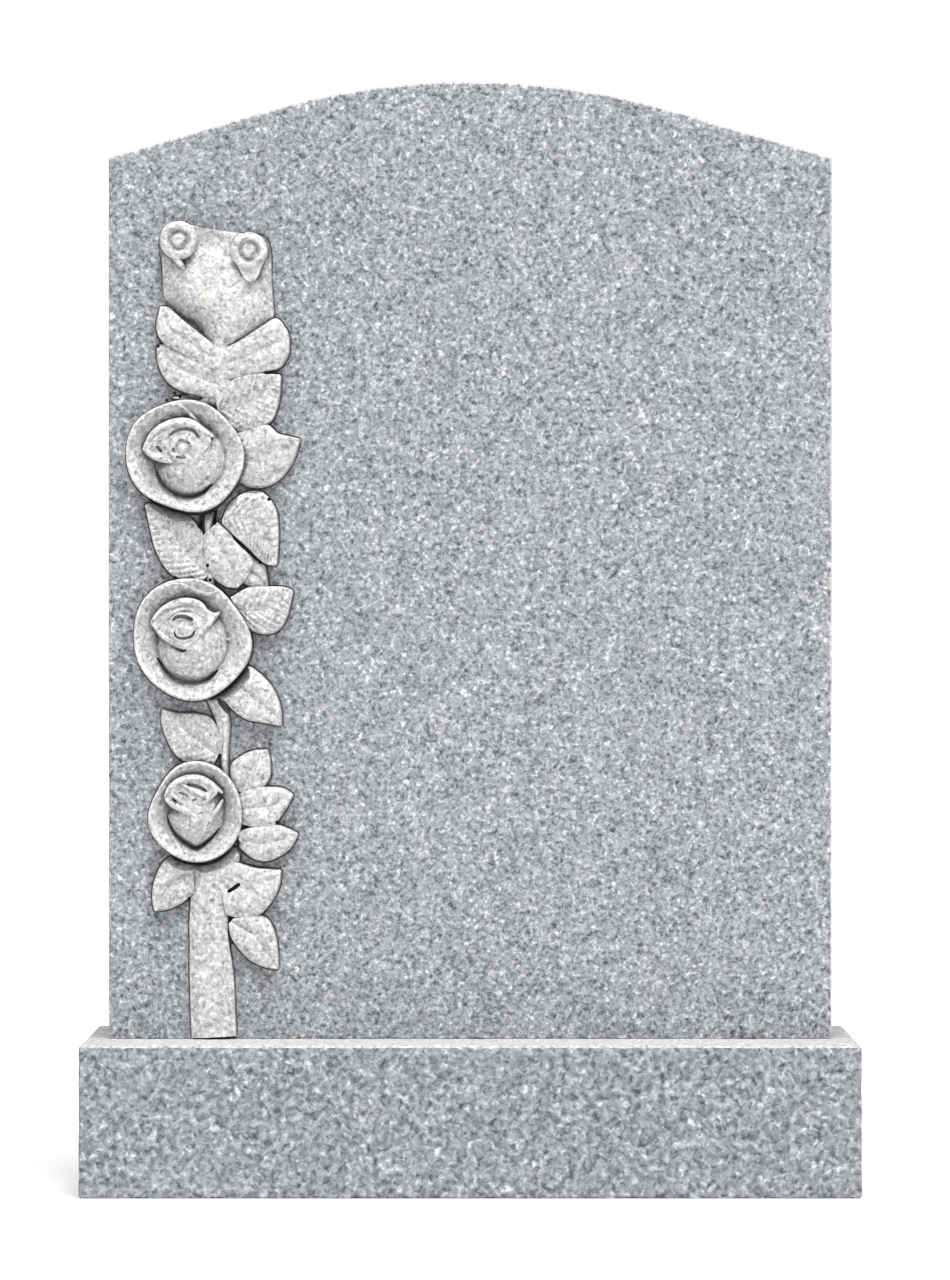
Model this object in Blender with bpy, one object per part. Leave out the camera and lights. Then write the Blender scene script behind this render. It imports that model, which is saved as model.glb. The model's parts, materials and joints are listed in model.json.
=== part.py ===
"""Upright granite memorial.

An arched tablet stands on a wider base. A stem of roses is carved in high relief up the left of the
tablet's face, from the same stone: a rosebud, three open roses, their leaves and a grooved stem.

Metres, +Z up. The origin is the centre of the base's underside, and the carved face looks along -Y.
"""

import math

import bmesh
import bpy
import numpy as np

# Tablet
TABLET_WIDTH = 0.610
TABLET_HEIGHT = 0.807  # from its foot to the crown of the arch
TABLET_THICKNESS = 0.100
ARCH_RADIUS = 0.610
FLANK_SLOPE = math.radians(16.5)  # the arch runs out into two straight flanks at this slope
TABLET_ARRIS = 0.002  # the eased edge all round

# Base
BASE_HEIGHT = 0.127
BASE_SIDE_LEDGE = 0.020
BASE_FRONT_LEDGE = 0.102
BASE_BACK_LEDGE = 0.102
BASE_ARRIS = 0.003
BED_JOINT = 0.0003

# Where the rose stem stands on the tablet
STEM_FROM_EDGE = 0.088
CARVING_BELOW_SHOULDER = 0.055
CARVING_ABOVE_FOOT = 0.0015

# How far the carving stands out from the tablet's face
LEAF_RELIEF = 0.015
STEM_RELIEF = 0.015
BUD_RELIEF = 0.026
CUP_FLOOR_RELIEF = 0.011
CUP_DEPTH = 0.012
HEART_ABOVE_RIM = 0.008
LIP_ABOVE_HEART = 0.0025

# Fineness of the carved surfaces
ARCH_STEPS = 28
LEAF_STEPS = 7
LEAF_COLUMNS = 5
CUP_STEPS = 28
HEART_STEPS = 22
EYE_STEPS = 12
LIP_STEPS = 8
LIP_COLUMNS = 5
BUD_STEPS = 10
BUD_COLUMNS = 9
STEM_STEPS_PER_METRE = 55

BASE_DEPTH = BASE_FRONT_LEDGE + TABLET_THICKNESS + BASE_BACK_LEDGE
BASE_WIDTH = TABLET_WIDTH + 2 * BASE_SIDE_LEDGE
FACE_Y = BASE_FRONT_LEDGE - BASE_DEPTH / 2
TABLET_FOOT = BASE_HEIGHT + BED_JOINT
ARC_HALF_WIDTH = ARCH_RADIUS * math.sin(FLANK_SLOPE)
ARC_DROP = ARCH_RADIUS * (1 - math.cos(FLANK_SLOPE))
FLANK_DROP = (TABLET_WIDTH / 2 - ARC_HALF_WIDTH) * math.tan(FLANK_SLOPE)
SHOULDER_HEIGHT = TABLET_HEIGHT - ARC_DROP - FLANK_DROP
CUP_RIM_RELIEF = CUP_FLOOR_RELIEF + CUP_DEPTH
HEART_RELIEF = CUP_RIM_RELIEF + HEART_ABOVE_RIM
LIP_RELIEF = HEART_RELIEF + LIP_ABOVE_HEART

# The carving is laid out from the foot of its stem, in hundredths of its own height
CARVING_HEIGHT = SHOULDER_HEIGHT - CARVING_BELOW_SHOULDER - CARVING_ABOVE_FOOT
UNIT = CARVING_HEIGHT / 100
STEM_X = STEM_FROM_EDGE - TABLET_WIDTH / 2
STEM_Z = TABLET_FOOT + CARVING_ABOVE_FOOT


# Materials

def granite(name, colour, roughness):
    """A plain granite: its colour and how rough its finish is."""
    material = bpy.data.materials.new(name)
    material.use_nodes = True
    shader = material.node_tree.nodes["Principled BSDF"]
    shader.inputs["Base Color"].default_value = (*colour, 1)
    shader.inputs["Roughness"].default_value = roughness
    shader.inputs["Metallic"].default_value = 0
    return material


# Carved solids from grids of points

def carved_object(name, points, faces, carving):
    """An object of one closed mesh with its faces turned outwards, shaded smooth but for its edges."""
    mesh = bpy.data.meshes.new(name)
    mesh.from_pydata(points.tolist(), [], faces)
    shape = bmesh.new()
    shape.from_mesh(mesh)
    bmesh.ops.recalc_face_normals(shape, faces=shape.faces)
    bmesh.ops.triangulate(shape, faces=shape.faces)
    shape.to_mesh(mesh)
    shape.free()
    mesh.shade_smooth()
    mesh.set_sharp_from_angle(angle=math.radians(40))
    piece = bpy.data.objects.new(name, mesh)
    piece.hide_render = True
    piece.display_type = "WIRE"
    carving.objects.link(piece)


def on_the_face(across, up, relief):
    """Points of the carving's layout as rows of x, y, z, standing out from the tablet's face by relief."""
    x = STEM_X + UNIT * across
    z = STEM_Z + UNIT * up
    y = FACE_Y - relief
    return np.stack(np.broadcast_arrays(x, y, z), axis=-1).reshape(-1, 3)


def inside_the_stone(across, up):
    """Points under the carving's layout, half-way through the tablet, where a carved solid ends."""
    return on_the_face(across, up, -TABLET_THICKNESS / 2)


def carved_strip(name, across, up, relief, carving):
    """A solid whose surface is a grid of rows and columns, with upright walls down into the stone."""
    rows, columns = across.shape
    index = np.arange(rows * columns).reshape(rows, columns)
    rim = np.concatenate([index[0, :-1], index[:-1, -1], index[-1, :0:-1], index[:0:-1, 0]])
    under = inside_the_stone(across.ravel()[rim], up.ravel()[rim])
    quads = np.stack([index[:-1, :-1], index[1:, :-1], index[1:, 1:], index[:-1, 1:]], axis=-1)
    foot = index.size + np.arange(len(rim))
    walls = np.stack([rim, np.roll(rim, -1), np.roll(foot, -1), foot], axis=-1)
    faces = [*quads.reshape(-1, 4).tolist(), *walls.tolist(), foot[::-1].tolist()]
    carved_object(name, np.concatenate([on_the_face(across, up, relief), under]), faces, carving)


def carved_round(name, centre, radii, rings, relief, steps, carving, swell=lambda turn: 1):
    """A solid whose surface is rings about a centre, with an upright wall down into the stone.

    rings are shares of the radii. relief is a function of the ring's share and the turn, and swell one
    of the turn, which makes the rim wavy.
    """
    turn = np.arange(steps) * math.tau / steps
    share = np.array(rings)[:, None]
    reach_across = radii[0] * swell(turn) * np.cos(turn)
    reach_up = radii[1] * swell(turn) * np.sin(turn)
    across = centre[0] + share * reach_across
    up = centre[1] + share * reach_up
    middle = on_the_face(centre[0], centre[1], relief(0.0, 0.0))
    surface = on_the_face(across, up, relief(share, turn))
    under = inside_the_stone(across[-1], up[-1])
    ring = 1 + np.arange((len(rings) + 1) * steps).reshape(-1, steps)
    after = np.roll(ring, -1, axis=1)
    fan = np.stack([np.zeros_like(ring[0]), ring[0], after[0]], axis=-1)
    quads = np.stack([ring[:-1], after[:-1], after[1:], ring[1:]], axis=-1)
    faces = [*fan.tolist(), *quads.reshape(-1, 4).tolist(), ring[-1, ::-1].tolist()]
    carved_object(name, np.concatenate([middle, surface, under]), faces, carving)


# Lines and ribbons on the face

def along(points, steps):
    """A smooth line through a few points: a Catmull-Rom curve, read at equal shares of its spans."""
    path = np.array(points, float)
    path = np.vstack([2 * path[0] - path[1], path, 2 * path[-1] - path[-2]])
    spans = len(path) - 3
    place = np.linspace(0, spans, steps + 1)
    span = np.minimum(place.astype(int), spans - 1)
    t = (place - span)[:, None]
    a, b, c, d = (path[span + k] for k in range(4))
    return b + 0.5 * t * (c - a + t * (2 * a - 5 * b + 4 * c - d + t * (3 * b - a - 3 * c + d)))


def ribbon(line, half_width, columns):
    """A grid of columns across a line: its across, its up, and each column's place from -1 to 1."""
    run = np.gradient(line, axis=0)
    run /= np.linalg.norm(run, axis=1, keepdims=True)
    side = np.linspace(-1, 1, columns)
    offset = half_width[:, None] * side
    return line[:, :1] - offset * run[:, 1:], line[:, 1:] + offset * run[:, :1], side


# Leaves

def leaf(carving, name, root, tip, width, bow=0.0, lift=(0.75, 1.0, 0.8), tilt=0.0, ends=(0.6, 0.8)):
    """A leaf of two pillowed halves that meet in a sunk midrib.

    bow pushes the midrib to the left of the line from root to tip. lift is the surface's height at the
    root, the middle and the tip, and tilt raises its left side over its right, in shares of LEAF_RELIEF.
    The outline is a power of the way from each end, and ends are those powers: 0.5 is round, 1 pointed.
    """
    end_half_width = 0.10
    pillow = 0.12
    edge_fall = 0.12
    s = np.linspace(0, 1, LEAF_STEPS + 1)
    root, tip = np.array(root), np.array(tip)
    chord = tip - root
    normal = np.array([-chord[1], chord[0]]) / np.linalg.norm(chord)
    midrib = root + s[:, None] * chord + bow * np.sin(math.pi * s)[:, None] * normal
    fullest = ends[0] / sum(ends)
    fullness = (s / fullest) ** ends[0] * ((1 - s) / (1 - fullest)) ** ends[1]
    across, up, side = ribbon(midrib, end_half_width + width / 2 * fullness, LEAF_COLUMNS)
    crown = np.interp(s, [0, 0.5, 1], lift)[:, None]
    halves = pillow * fullness[:, None] * np.sin(math.pi * np.abs(side)) - edge_fall * side**2
    carved_strip(name, across, up, LEAF_RELIEF * (crown + halves + tilt * side), carving)


# Open roses

def cup(carving, name, centre, radii, waves):
    """The ring of outer petals: a bowl that climbs from a flat floor to a thin rim, rolled over outside.

    waves are the rim's soft waves, each as how many go round, how deep, and where they start.
    """
    gutter = 0.62
    rim = 0.95
    roll = 0.10

    def relief(share, turn):
        wall = np.clip((share - gutter) / (rim - gutter), 0, 1) ** 0.8
        rolled = np.clip((share - rim) / (1 - rim), 0, 1) ** 2
        return CUP_FLOOR_RELIEF + CUP_DEPTH * wall - roll * CUP_RIM_RELIEF * rolled + 0 * turn

    def swell(turn):
        return 1 + sum(depth * np.sin(count * turn + start) for count, depth, start in waves)

    carved_round(name, centre, radii, (gutter, 0.72, 0.84, rim, 1), relief, CUP_STEPS, carving, swell)


def heart(carving, name, centre, radii, eye, eye_radius):
    """The furled inner petals: a dome that rises from the cup's floor, hollowed a little at the eye."""
    hollow = 0.13
    hollow_across = 2.6 * eye_radius
    hollow_up = 1.7 * eye_radius
    height = HEART_RELIEF - CUP_FLOOR_RELIEF

    def relief(share, turn):
        dome = np.sqrt(1 - share**2.2)
        across = (centre[0] + share * radii[0] * np.cos(turn) - eye[0]) / hollow_across
        up = (centre[1] + share * radii[1] * np.sin(turn) - eye[1]) / hollow_up
        sunk = hollow * np.exp(-((across**2 + up**2) ** 2))
        return CUP_FLOOR_RELIEF + height * dome * (1 - sunk)

    carved_round(name, centre, radii, (0.28, 0.52, 0.72, 0.88, 0.97, 1), relief, HEART_STEPS, carving)


def petal_lip(carving, name, route, width, height):
    """The turned edge of an inner petal: a round ridge that thins and sinks to a point at both ends."""
    end_half_width = 0.08
    end_fall = 0.20
    edge_fall = 0.16
    arch = np.sin(math.pi * np.linspace(0, 1, LIP_STEPS + 1))
    across, up, side = ribbon(along(route, LIP_STEPS), end_half_width + width / 2 * arch**0.6, LIP_COLUMNS)
    crest = 1 - end_fall + end_fall * np.sqrt(arch)
    carved_strip(name, across, up, height * crest[:, None] * (1 - edge_fall * side**2), carving)


def furled_eye(carving, name, centre, radius, height):
    """The tight centre of a rose, or of a petal's roll: a button, a groove and a ring about it."""
    profile = {0: 1, 0.30: 0.96, 0.42: 0.86, 0.55: 0.84, 0.72: 0.96, 0.86: 0.94, 1: 0.84}
    shares = list(profile)

    def relief(share, turn):
        return height * np.interp(share, shares, list(profile.values())) + 0 * turn

    carved_round(name, centre, (radius, radius), shares[1:], relief, EYE_STEPS, carving)


def open_rose(carving, name, cup_form, heart_form, upper_lip, lower_lip, eye, eye_radius):
    """One open rose: its cup, the furled heart in it, the eye, and the two lips that part about the eye."""
    cup(carving, f"{name}_cup", *cup_form)
    heart(carving, f"{name}_heart", *heart_form, eye, eye_radius)
    petal_lip(carving, f"{name}_upper_lip", upper_lip, 0.75, LIP_RELIEF)
    petal_lip(carving, f"{name}_lower_lip", lower_lip, 0.70, 0.98 * LIP_RELIEF)
    furled_eye(carving, f"{name}_eye", eye, eye_radius, HEART_RELIEF)


# Rosebud

def rosebud(carving):
    """The closed bud: a belly of wrapped petals with one soft crease, and two petals rolled at its mouth."""
    left = [(0.5, 84.0), (-1.7, 86.3), (-4.6, 88.9), (-6.0, 91.2), (-6.2, 94.5), (-6.0, 97.4), (-2.6, 99.5)]
    right = [(1.2, 84.0), (3.6, 85.0), (6.5, 87.2), (7.4, 89.2), (7.1, 92.2), (6.9, 96.0), (1.8, 98.5)]
    crease_depth = 0.07
    crease_place = 0.55
    crease_width = 0.10
    end_height = 0.55
    left = along(left, BUD_STEPS)
    right = along(right, BUD_STEPS)
    share = np.linspace(0, 1, BUD_COLUMNS)
    outline = left[:, :, None] * (1 - share) + right[:, :, None] * share
    rise = np.minimum(1.1 * np.linspace(0, 1, BUD_STEPS + 1), 1)[:, None]
    belly = end_height + (1 - end_height) * np.sin(math.pi * rise).clip(0) ** 0.7
    rounding = np.sqrt(1 - 0.80 * (2 * share - 1) ** 2)
    crease = crease_depth * np.exp(-(((share - crease_place) / crease_width) ** 2))
    relief = BUD_RELIEF * (belly * rounding - crease)
    carved_strip("bud_belly", outline[:, 0], outline[:, 1], relief, carving)
    furled_eye(carving, "bud_left_roll", (-4.2, 98.05), 2.2, BUD_RELIEF)
    furled_eye(carving, "bud_right_roll", (4.4, 96.6), 2.4, 1.02 * BUD_RELIEF)
    left_fold = [(-4.9, 96.4), (-4.2, 95.0), (-2.6, 93.6)]
    right_fold = [(2.4, 96.2), (3.3, 94.2), (5.0, 93.2), (6.2, 94.8)]
    petal_lip(carving, "bud_left_fold", left_fold, 0.9, 0.93 * BUD_RELIEF)
    petal_lip(carving, "bud_right_fold", right_fold, 1.5, BUD_RELIEF)


# Stem

def stem(carving, name, route, widths, height=1.0, groove=0.0, columns=5):
    """A length of stem: a half-round bar along its route, with two grooves down a thick one."""
    edge_fall = 0.72
    length = UNIT * sum(math.dist(a, b) for a, b in zip(route, route[1:]))
    steps = max(3, round(length * STEM_STEPS_PER_METRE))
    s = np.linspace(0, 1, steps + 1)
    half_width = np.interp(s, np.linspace(0, 1, len(widths)), widths) / 2
    across, up, side = ribbon(along(route, steps), half_width, columns)
    section = np.sqrt(1 - edge_fall * side**2) - groove * np.cos(math.tau * side) * (1 - side**2)
    carved_strip(name, across, up, height * STEM_RELIEF * section + 0 * s[:, None], carving)


def stems(carving):
    """The grooved stem at the foot, and the thin lengths that show between the roses."""
    foot = [(0.3, 0.0), (-0.1, 4.4), (-0.4, 9.4), (-0.4, 15.0), (-0.1, 18.0), (0.5, 20.5), (0.5, 23.5)]
    stem(carving, "stem_foot", foot, (5.2, 4.9, 4.8, 4.8, 4.9, 5.8, 5.8), groove=0.10, columns=9)
    low = [(0.6, 22.0), (1.8, 29.0), (1.7, 34.0), (1.1, 37.9), (0.4, 43.5)]
    stem(carving, "stem_low", low, (2.0, 1.5, 1.3, 1.4, 1.6), height=0.66)
    stem(carving, "stem_low_fork", [(-0.6, 42.5), (0.2, 38.6), (1.4, 35.4)], (1.0, 1.0, 0.8), height=0.58)
    middle = [(-0.3, 53.0), (-0.2, 59.2), (-0.1, 62.5), (0.2, 66.5)]
    stem(carving, "stem_middle", middle, (1.4, 1.1, 1.2, 1.5), height=0.78)
    stem(carving, "stem_high", [(2.2, 74.0), (1.5, 79.4), (0.9, 85.5)], (2.0, 2.2, 2.6), height=0.82)


# Layout of the leaves and roses, from the bud down

def leaves(carving):
    """The leaves, each from its root to its tip with its full width."""
    leaf(carving, "leaf_01", (-0.1, 79.3), (-7.1, 84.2), 4.6, bow=0.4, lift=(0.7, 0.85, 0.6), ends=(0.5, 0.5))
    leaf(carving, "leaf_02", (0.9, 81.4), (-6.9, 88.5), 4.4, lift=(0.8, 1.1, 0.95), ends=(0.45, 0.45))
    leaf(carving, "leaf_03", (0.2, 80.4), (9.5, 85.5), 5.9, lift=(0.85, 1.15, 0.8), ends=(0.9, 0.55))
    leaf(carving, "leaf_04", (1.1, 75.3), (8.2, 81.2), 5.3, bow=-0.2, lift=(0.9, 1.15, 1), ends=(0.5, 0.65))
    leaf(carving, "leaf_05", (2.0, 69.6), (10.7, 73.2), 7.7, lift=(0.7, 0.9, 0.85))
    leaf(carving, "leaf_06", (0.4, 63.7), (7.9, 57.9), 5.6, bow=2.4, lift=(1, 1.2, 0.9), tilt=-0.1)
    leaf(carving, "leaf_07", (-0.1, 58.3), (-8.2, 65.4), 5.6, bow=0.7, lift=(0.8, 0.95, 0.85))
    leaf(carving, "leaf_08", (-0.9, 60.7), (4.2, 55.1), 4.9, bow=0.5, lift=(0.85, 0.95, 0.7))
    leaf(carving, "leaf_09", (2.7, 58.5), (6.7, 55.2), 3.2, lift=(0.5, 0.55, 0.5))
    leaf(carving, "leaf_10", (2.8, 51.8), (9.7, 55.0), 5.1, bow=-0.7, lift=(0.9, 1.05, 1))
    leaf(carving, "leaf_11", (1.0, 43.0), (8.2, 38.3), 5.1, bow=1.2, lift=(0.9, 1.1, 0.85), tilt=-0.1)
    leaf(carving, "leaf_12", (1.3, 34.6), (-6.1, 40.0), 5.6, bow=0.3, lift=(0.6, 0.7, 0.55))
    leaf(carving, "leaf_13", (2.8, 29.0), (6.8, 35.3), 4.4, lift=(0.7, 0.8, 0.75))
    leaf(carving, "leaf_14", (2.6, 26.7), (9.6, 29.2), 5.0, bow=-0.2, lift=(0.8, 1.05, 0.95))
    leaf(carving, "leaf_15", (2.4, 22.5), (10.2, 24.1), 4.8, bow=-0.3, lift=(0.9, 1, 0.95))
    leaf(carving, "leaf_16", (-1.2, 20.4), (-7.3, 15.8), 5.0, lift=(0.75, 0.85, 0.75))
    leaf(carving, "leaf_17", (1.2, 15.7), (8.3, 20.5), 5.2, bow=-0.3, lift=(0.85, 0.95, 0.85))
    leaf(carving, "leaf_18", (1.8, 14.5), (7.7, 8.5), 4.4, bow=0.5, lift=(0.7, 0.85, 0.75))


def roses(carving):
    """The three open roses, each looking a little to the left."""
    open_rose(
        carving, "high_rose",
        ((-3.4, 71.3), (7.0, 6.8), ((3, 0.012, 0.4), (5, 0.008, 2.0))),
        ((-2.75, 71.0), (4.9, 4.6)),
        [(-8.5, 72.4), (-6.4, 74.5), (-3.7, 75.4), (-1.6, 74.7), (-0.4, 73.6)],
        [(-8.5, 72.4), (-7.0, 71.0), (-5.2, 70.1), (-3.2, 70.4), (-1.2, 71.9), (-0.4, 73.6)],
        (-3.6, 72.6), 1.95,
    )
    open_rose(
        carving, "middle_rose",
        ((-2.6, 48.7), (7.0, 7.4), ((3, 0.012, 1.1), (4, 0.010, 0.3))),
        ((-2.4, 48.3), (5.1, 5.1)),
        [(-7.6, 50.9), (-5.4, 53.0), (-3.0, 53.6), (-1.0, 53.0), (-0.2, 51.9)],
        [(-7.6, 50.9), (-6.3, 49.1), (-4.6, 48.0), (-3.2, 47.7), (-1.6, 49.5), (0.6, 52.3)],
        (-3.5, 50.5), 1.95,
    )
    open_rose(
        carving, "low_rose",
        ((-2.2, 27.7), (5.7, 6.2), ((3, 0.010, 2.2), (5, 0.006, 0.9))),
        ((-2.0, 27.6), (4.0, 4.3)),
        [(-5.9, 29.3), (-4.8, 30.9), (-2.7, 31.8), (-0.8, 31.3), (0.6, 30.2)],
        [(-5.9, 29.3), (-5.0, 28.3), (-3.9, 27.8), (-2.8, 27.8), (-1.0, 29.0), (0.6, 30.2)],
        (-2.8, 29.7), 1.45,
    )


# Base and tablet

def block(name, outline, front, depth, arris, material):
    """A slab cut to an outline in the X-Z plane, with its square edges eased."""
    square = math.radians(30)
    shape = bmesh.new()
    face = shape.faces.new([shape.verts.new((x, front, z)) for x, z in outline])
    made = bmesh.ops.extrude_face_region(shape, geom=[face])
    moved = [v for v in made["geom"] if isinstance(v, bmesh.types.BMVert)]
    bmesh.ops.translate(shape, verts=moved, vec=(0, depth, 0))
    bmesh.ops.recalc_face_normals(shape, faces=shape.faces)
    edges = [e for e in shape.edges if e.calc_face_angle() > square]
    bmesh.ops.bevel(shape, geom=edges, offset=arris, segments=1, affect="EDGES")
    mesh = bpy.data.meshes.new(name)
    shape.to_mesh(mesh)
    shape.free()
    mesh.materials.append(material)
    slab = bpy.data.objects.new(name, mesh)
    bpy.context.scene.collection.objects.link(slab)
    return slab


def make_base():
    """The base: one plain block, wider and deeper than the tablet that it carries."""
    half = BASE_WIDTH / 2
    outline = [(-half, 0), (half, 0), (half, BASE_HEIGHT), (-half, BASE_HEIGHT)]
    sawn = granite("Fine-sawn grey granite", (0.36, 0.37, 0.385), 0.42)
    block("base", outline, -BASE_DEPTH / 2, BASE_DEPTH, BASE_ARRIS, sawn)


def make_tablet():
    """The tablet: a slab with an arched head, and the rose stem on its face, all one stone."""
    half = TABLET_WIDTH / 2
    crown = TABLET_FOOT + TABLET_HEIGHT
    shoulder = TABLET_FOOT + SHOULDER_HEIGHT
    turns = np.linspace(FLANK_SLOPE, -FLANK_SLOPE, ARCH_STEPS + 1)
    arch = [(ARCH_RADIUS * math.sin(t), crown - ARCH_RADIUS * (1 - math.cos(t))) for t in turns]
    outline = [(-half, TABLET_FOOT), (half, TABLET_FOOT), (half, shoulder), *arch, (-half, shoulder)]
    honed = granite("Honed grey granite", (0.43, 0.44, 0.455), 0.35)
    tablet = block("tablet", outline, FACE_Y, TABLET_THICKNESS, TABLET_ARRIS, honed)

    carving = bpy.data.collections.new("Rose stem")
    bpy.context.scene.collection.children.link(carving)
    for carve in (stems, leaves, roses, rosebud):
        carve(carving)
    union = tablet.modifiers.new("Rose stem, one with the slab", "BOOLEAN")
    union.operation = "UNION"
    union.solver = "EXACT"
    union.operand_type = "COLLECTION"
    union.collection = carving


def main():
    """Clear the scene, then make the two stones."""
    for obj in list(bpy.data.objects):
        bpy.data.objects.remove(obj)
    make_base()
    make_tablet()


main()
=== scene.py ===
"""The looks of an upright granite memorial: a base, and an arched tablet with a rose stem carved on it.

Metres, +Z up, the carved face towards -Y, as in the CAD frame that the pieces stand in.
"""

import json
import math

import bmesh
import bpy
import numpy as np
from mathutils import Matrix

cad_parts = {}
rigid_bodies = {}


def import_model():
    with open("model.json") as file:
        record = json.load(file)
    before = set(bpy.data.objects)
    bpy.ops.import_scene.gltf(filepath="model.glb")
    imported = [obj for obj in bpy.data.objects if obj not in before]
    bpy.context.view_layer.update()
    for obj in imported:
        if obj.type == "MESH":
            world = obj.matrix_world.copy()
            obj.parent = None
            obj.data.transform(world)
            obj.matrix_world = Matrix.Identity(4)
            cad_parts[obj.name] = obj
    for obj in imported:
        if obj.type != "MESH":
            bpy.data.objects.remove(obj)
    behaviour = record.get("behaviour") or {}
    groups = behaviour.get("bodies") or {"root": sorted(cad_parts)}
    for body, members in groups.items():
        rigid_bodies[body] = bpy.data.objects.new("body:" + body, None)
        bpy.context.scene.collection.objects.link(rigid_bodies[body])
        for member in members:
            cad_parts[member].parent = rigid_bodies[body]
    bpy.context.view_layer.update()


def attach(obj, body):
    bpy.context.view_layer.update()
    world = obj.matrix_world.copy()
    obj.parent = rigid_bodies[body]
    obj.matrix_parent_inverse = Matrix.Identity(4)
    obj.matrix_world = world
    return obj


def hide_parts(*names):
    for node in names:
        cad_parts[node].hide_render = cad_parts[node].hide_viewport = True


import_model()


# Base
#
# The base is one block of grey granite with eased edges, its sides fine-sawn and its top painted paler
# with the axed granite, a painted highlight where the light falls on it.
# It carries the tablet by its weight, on a thin bed.

BASE_WIDTH = 0.650
BASE_DEPTH = 0.304
BASE_HEIGHT = 0.127
BASE_ARRIS = 0.003


def colour(hexa):
    """The linear colour, with its alpha, of an sRGB hex value such as "8a8d90"."""
    part = np.array([int(hexa[i:i + 2], 16) for i in (0, 2, 4)]) / 255
    linear = np.where(part <= 0.04045, part / 12.92, ((part + 0.055) / 1.055) ** 2.4)
    return (*linear.tolist(), 1.0)


def add_node(tree, kind, inputs, **settings):
    """A node with its settings, and its inputs by name or place: each a value or the output that feeds it."""
    made = tree.nodes.new(kind)
    for name, value in settings.items():
        setattr(made, name, value)
    for name, value in inputs.items():
        if isinstance(value, bpy.types.NodeSocket):
            tree.links.new(value, made.inputs[name])
        else:
            made.inputs[name].default_value = value
    return made


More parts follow.
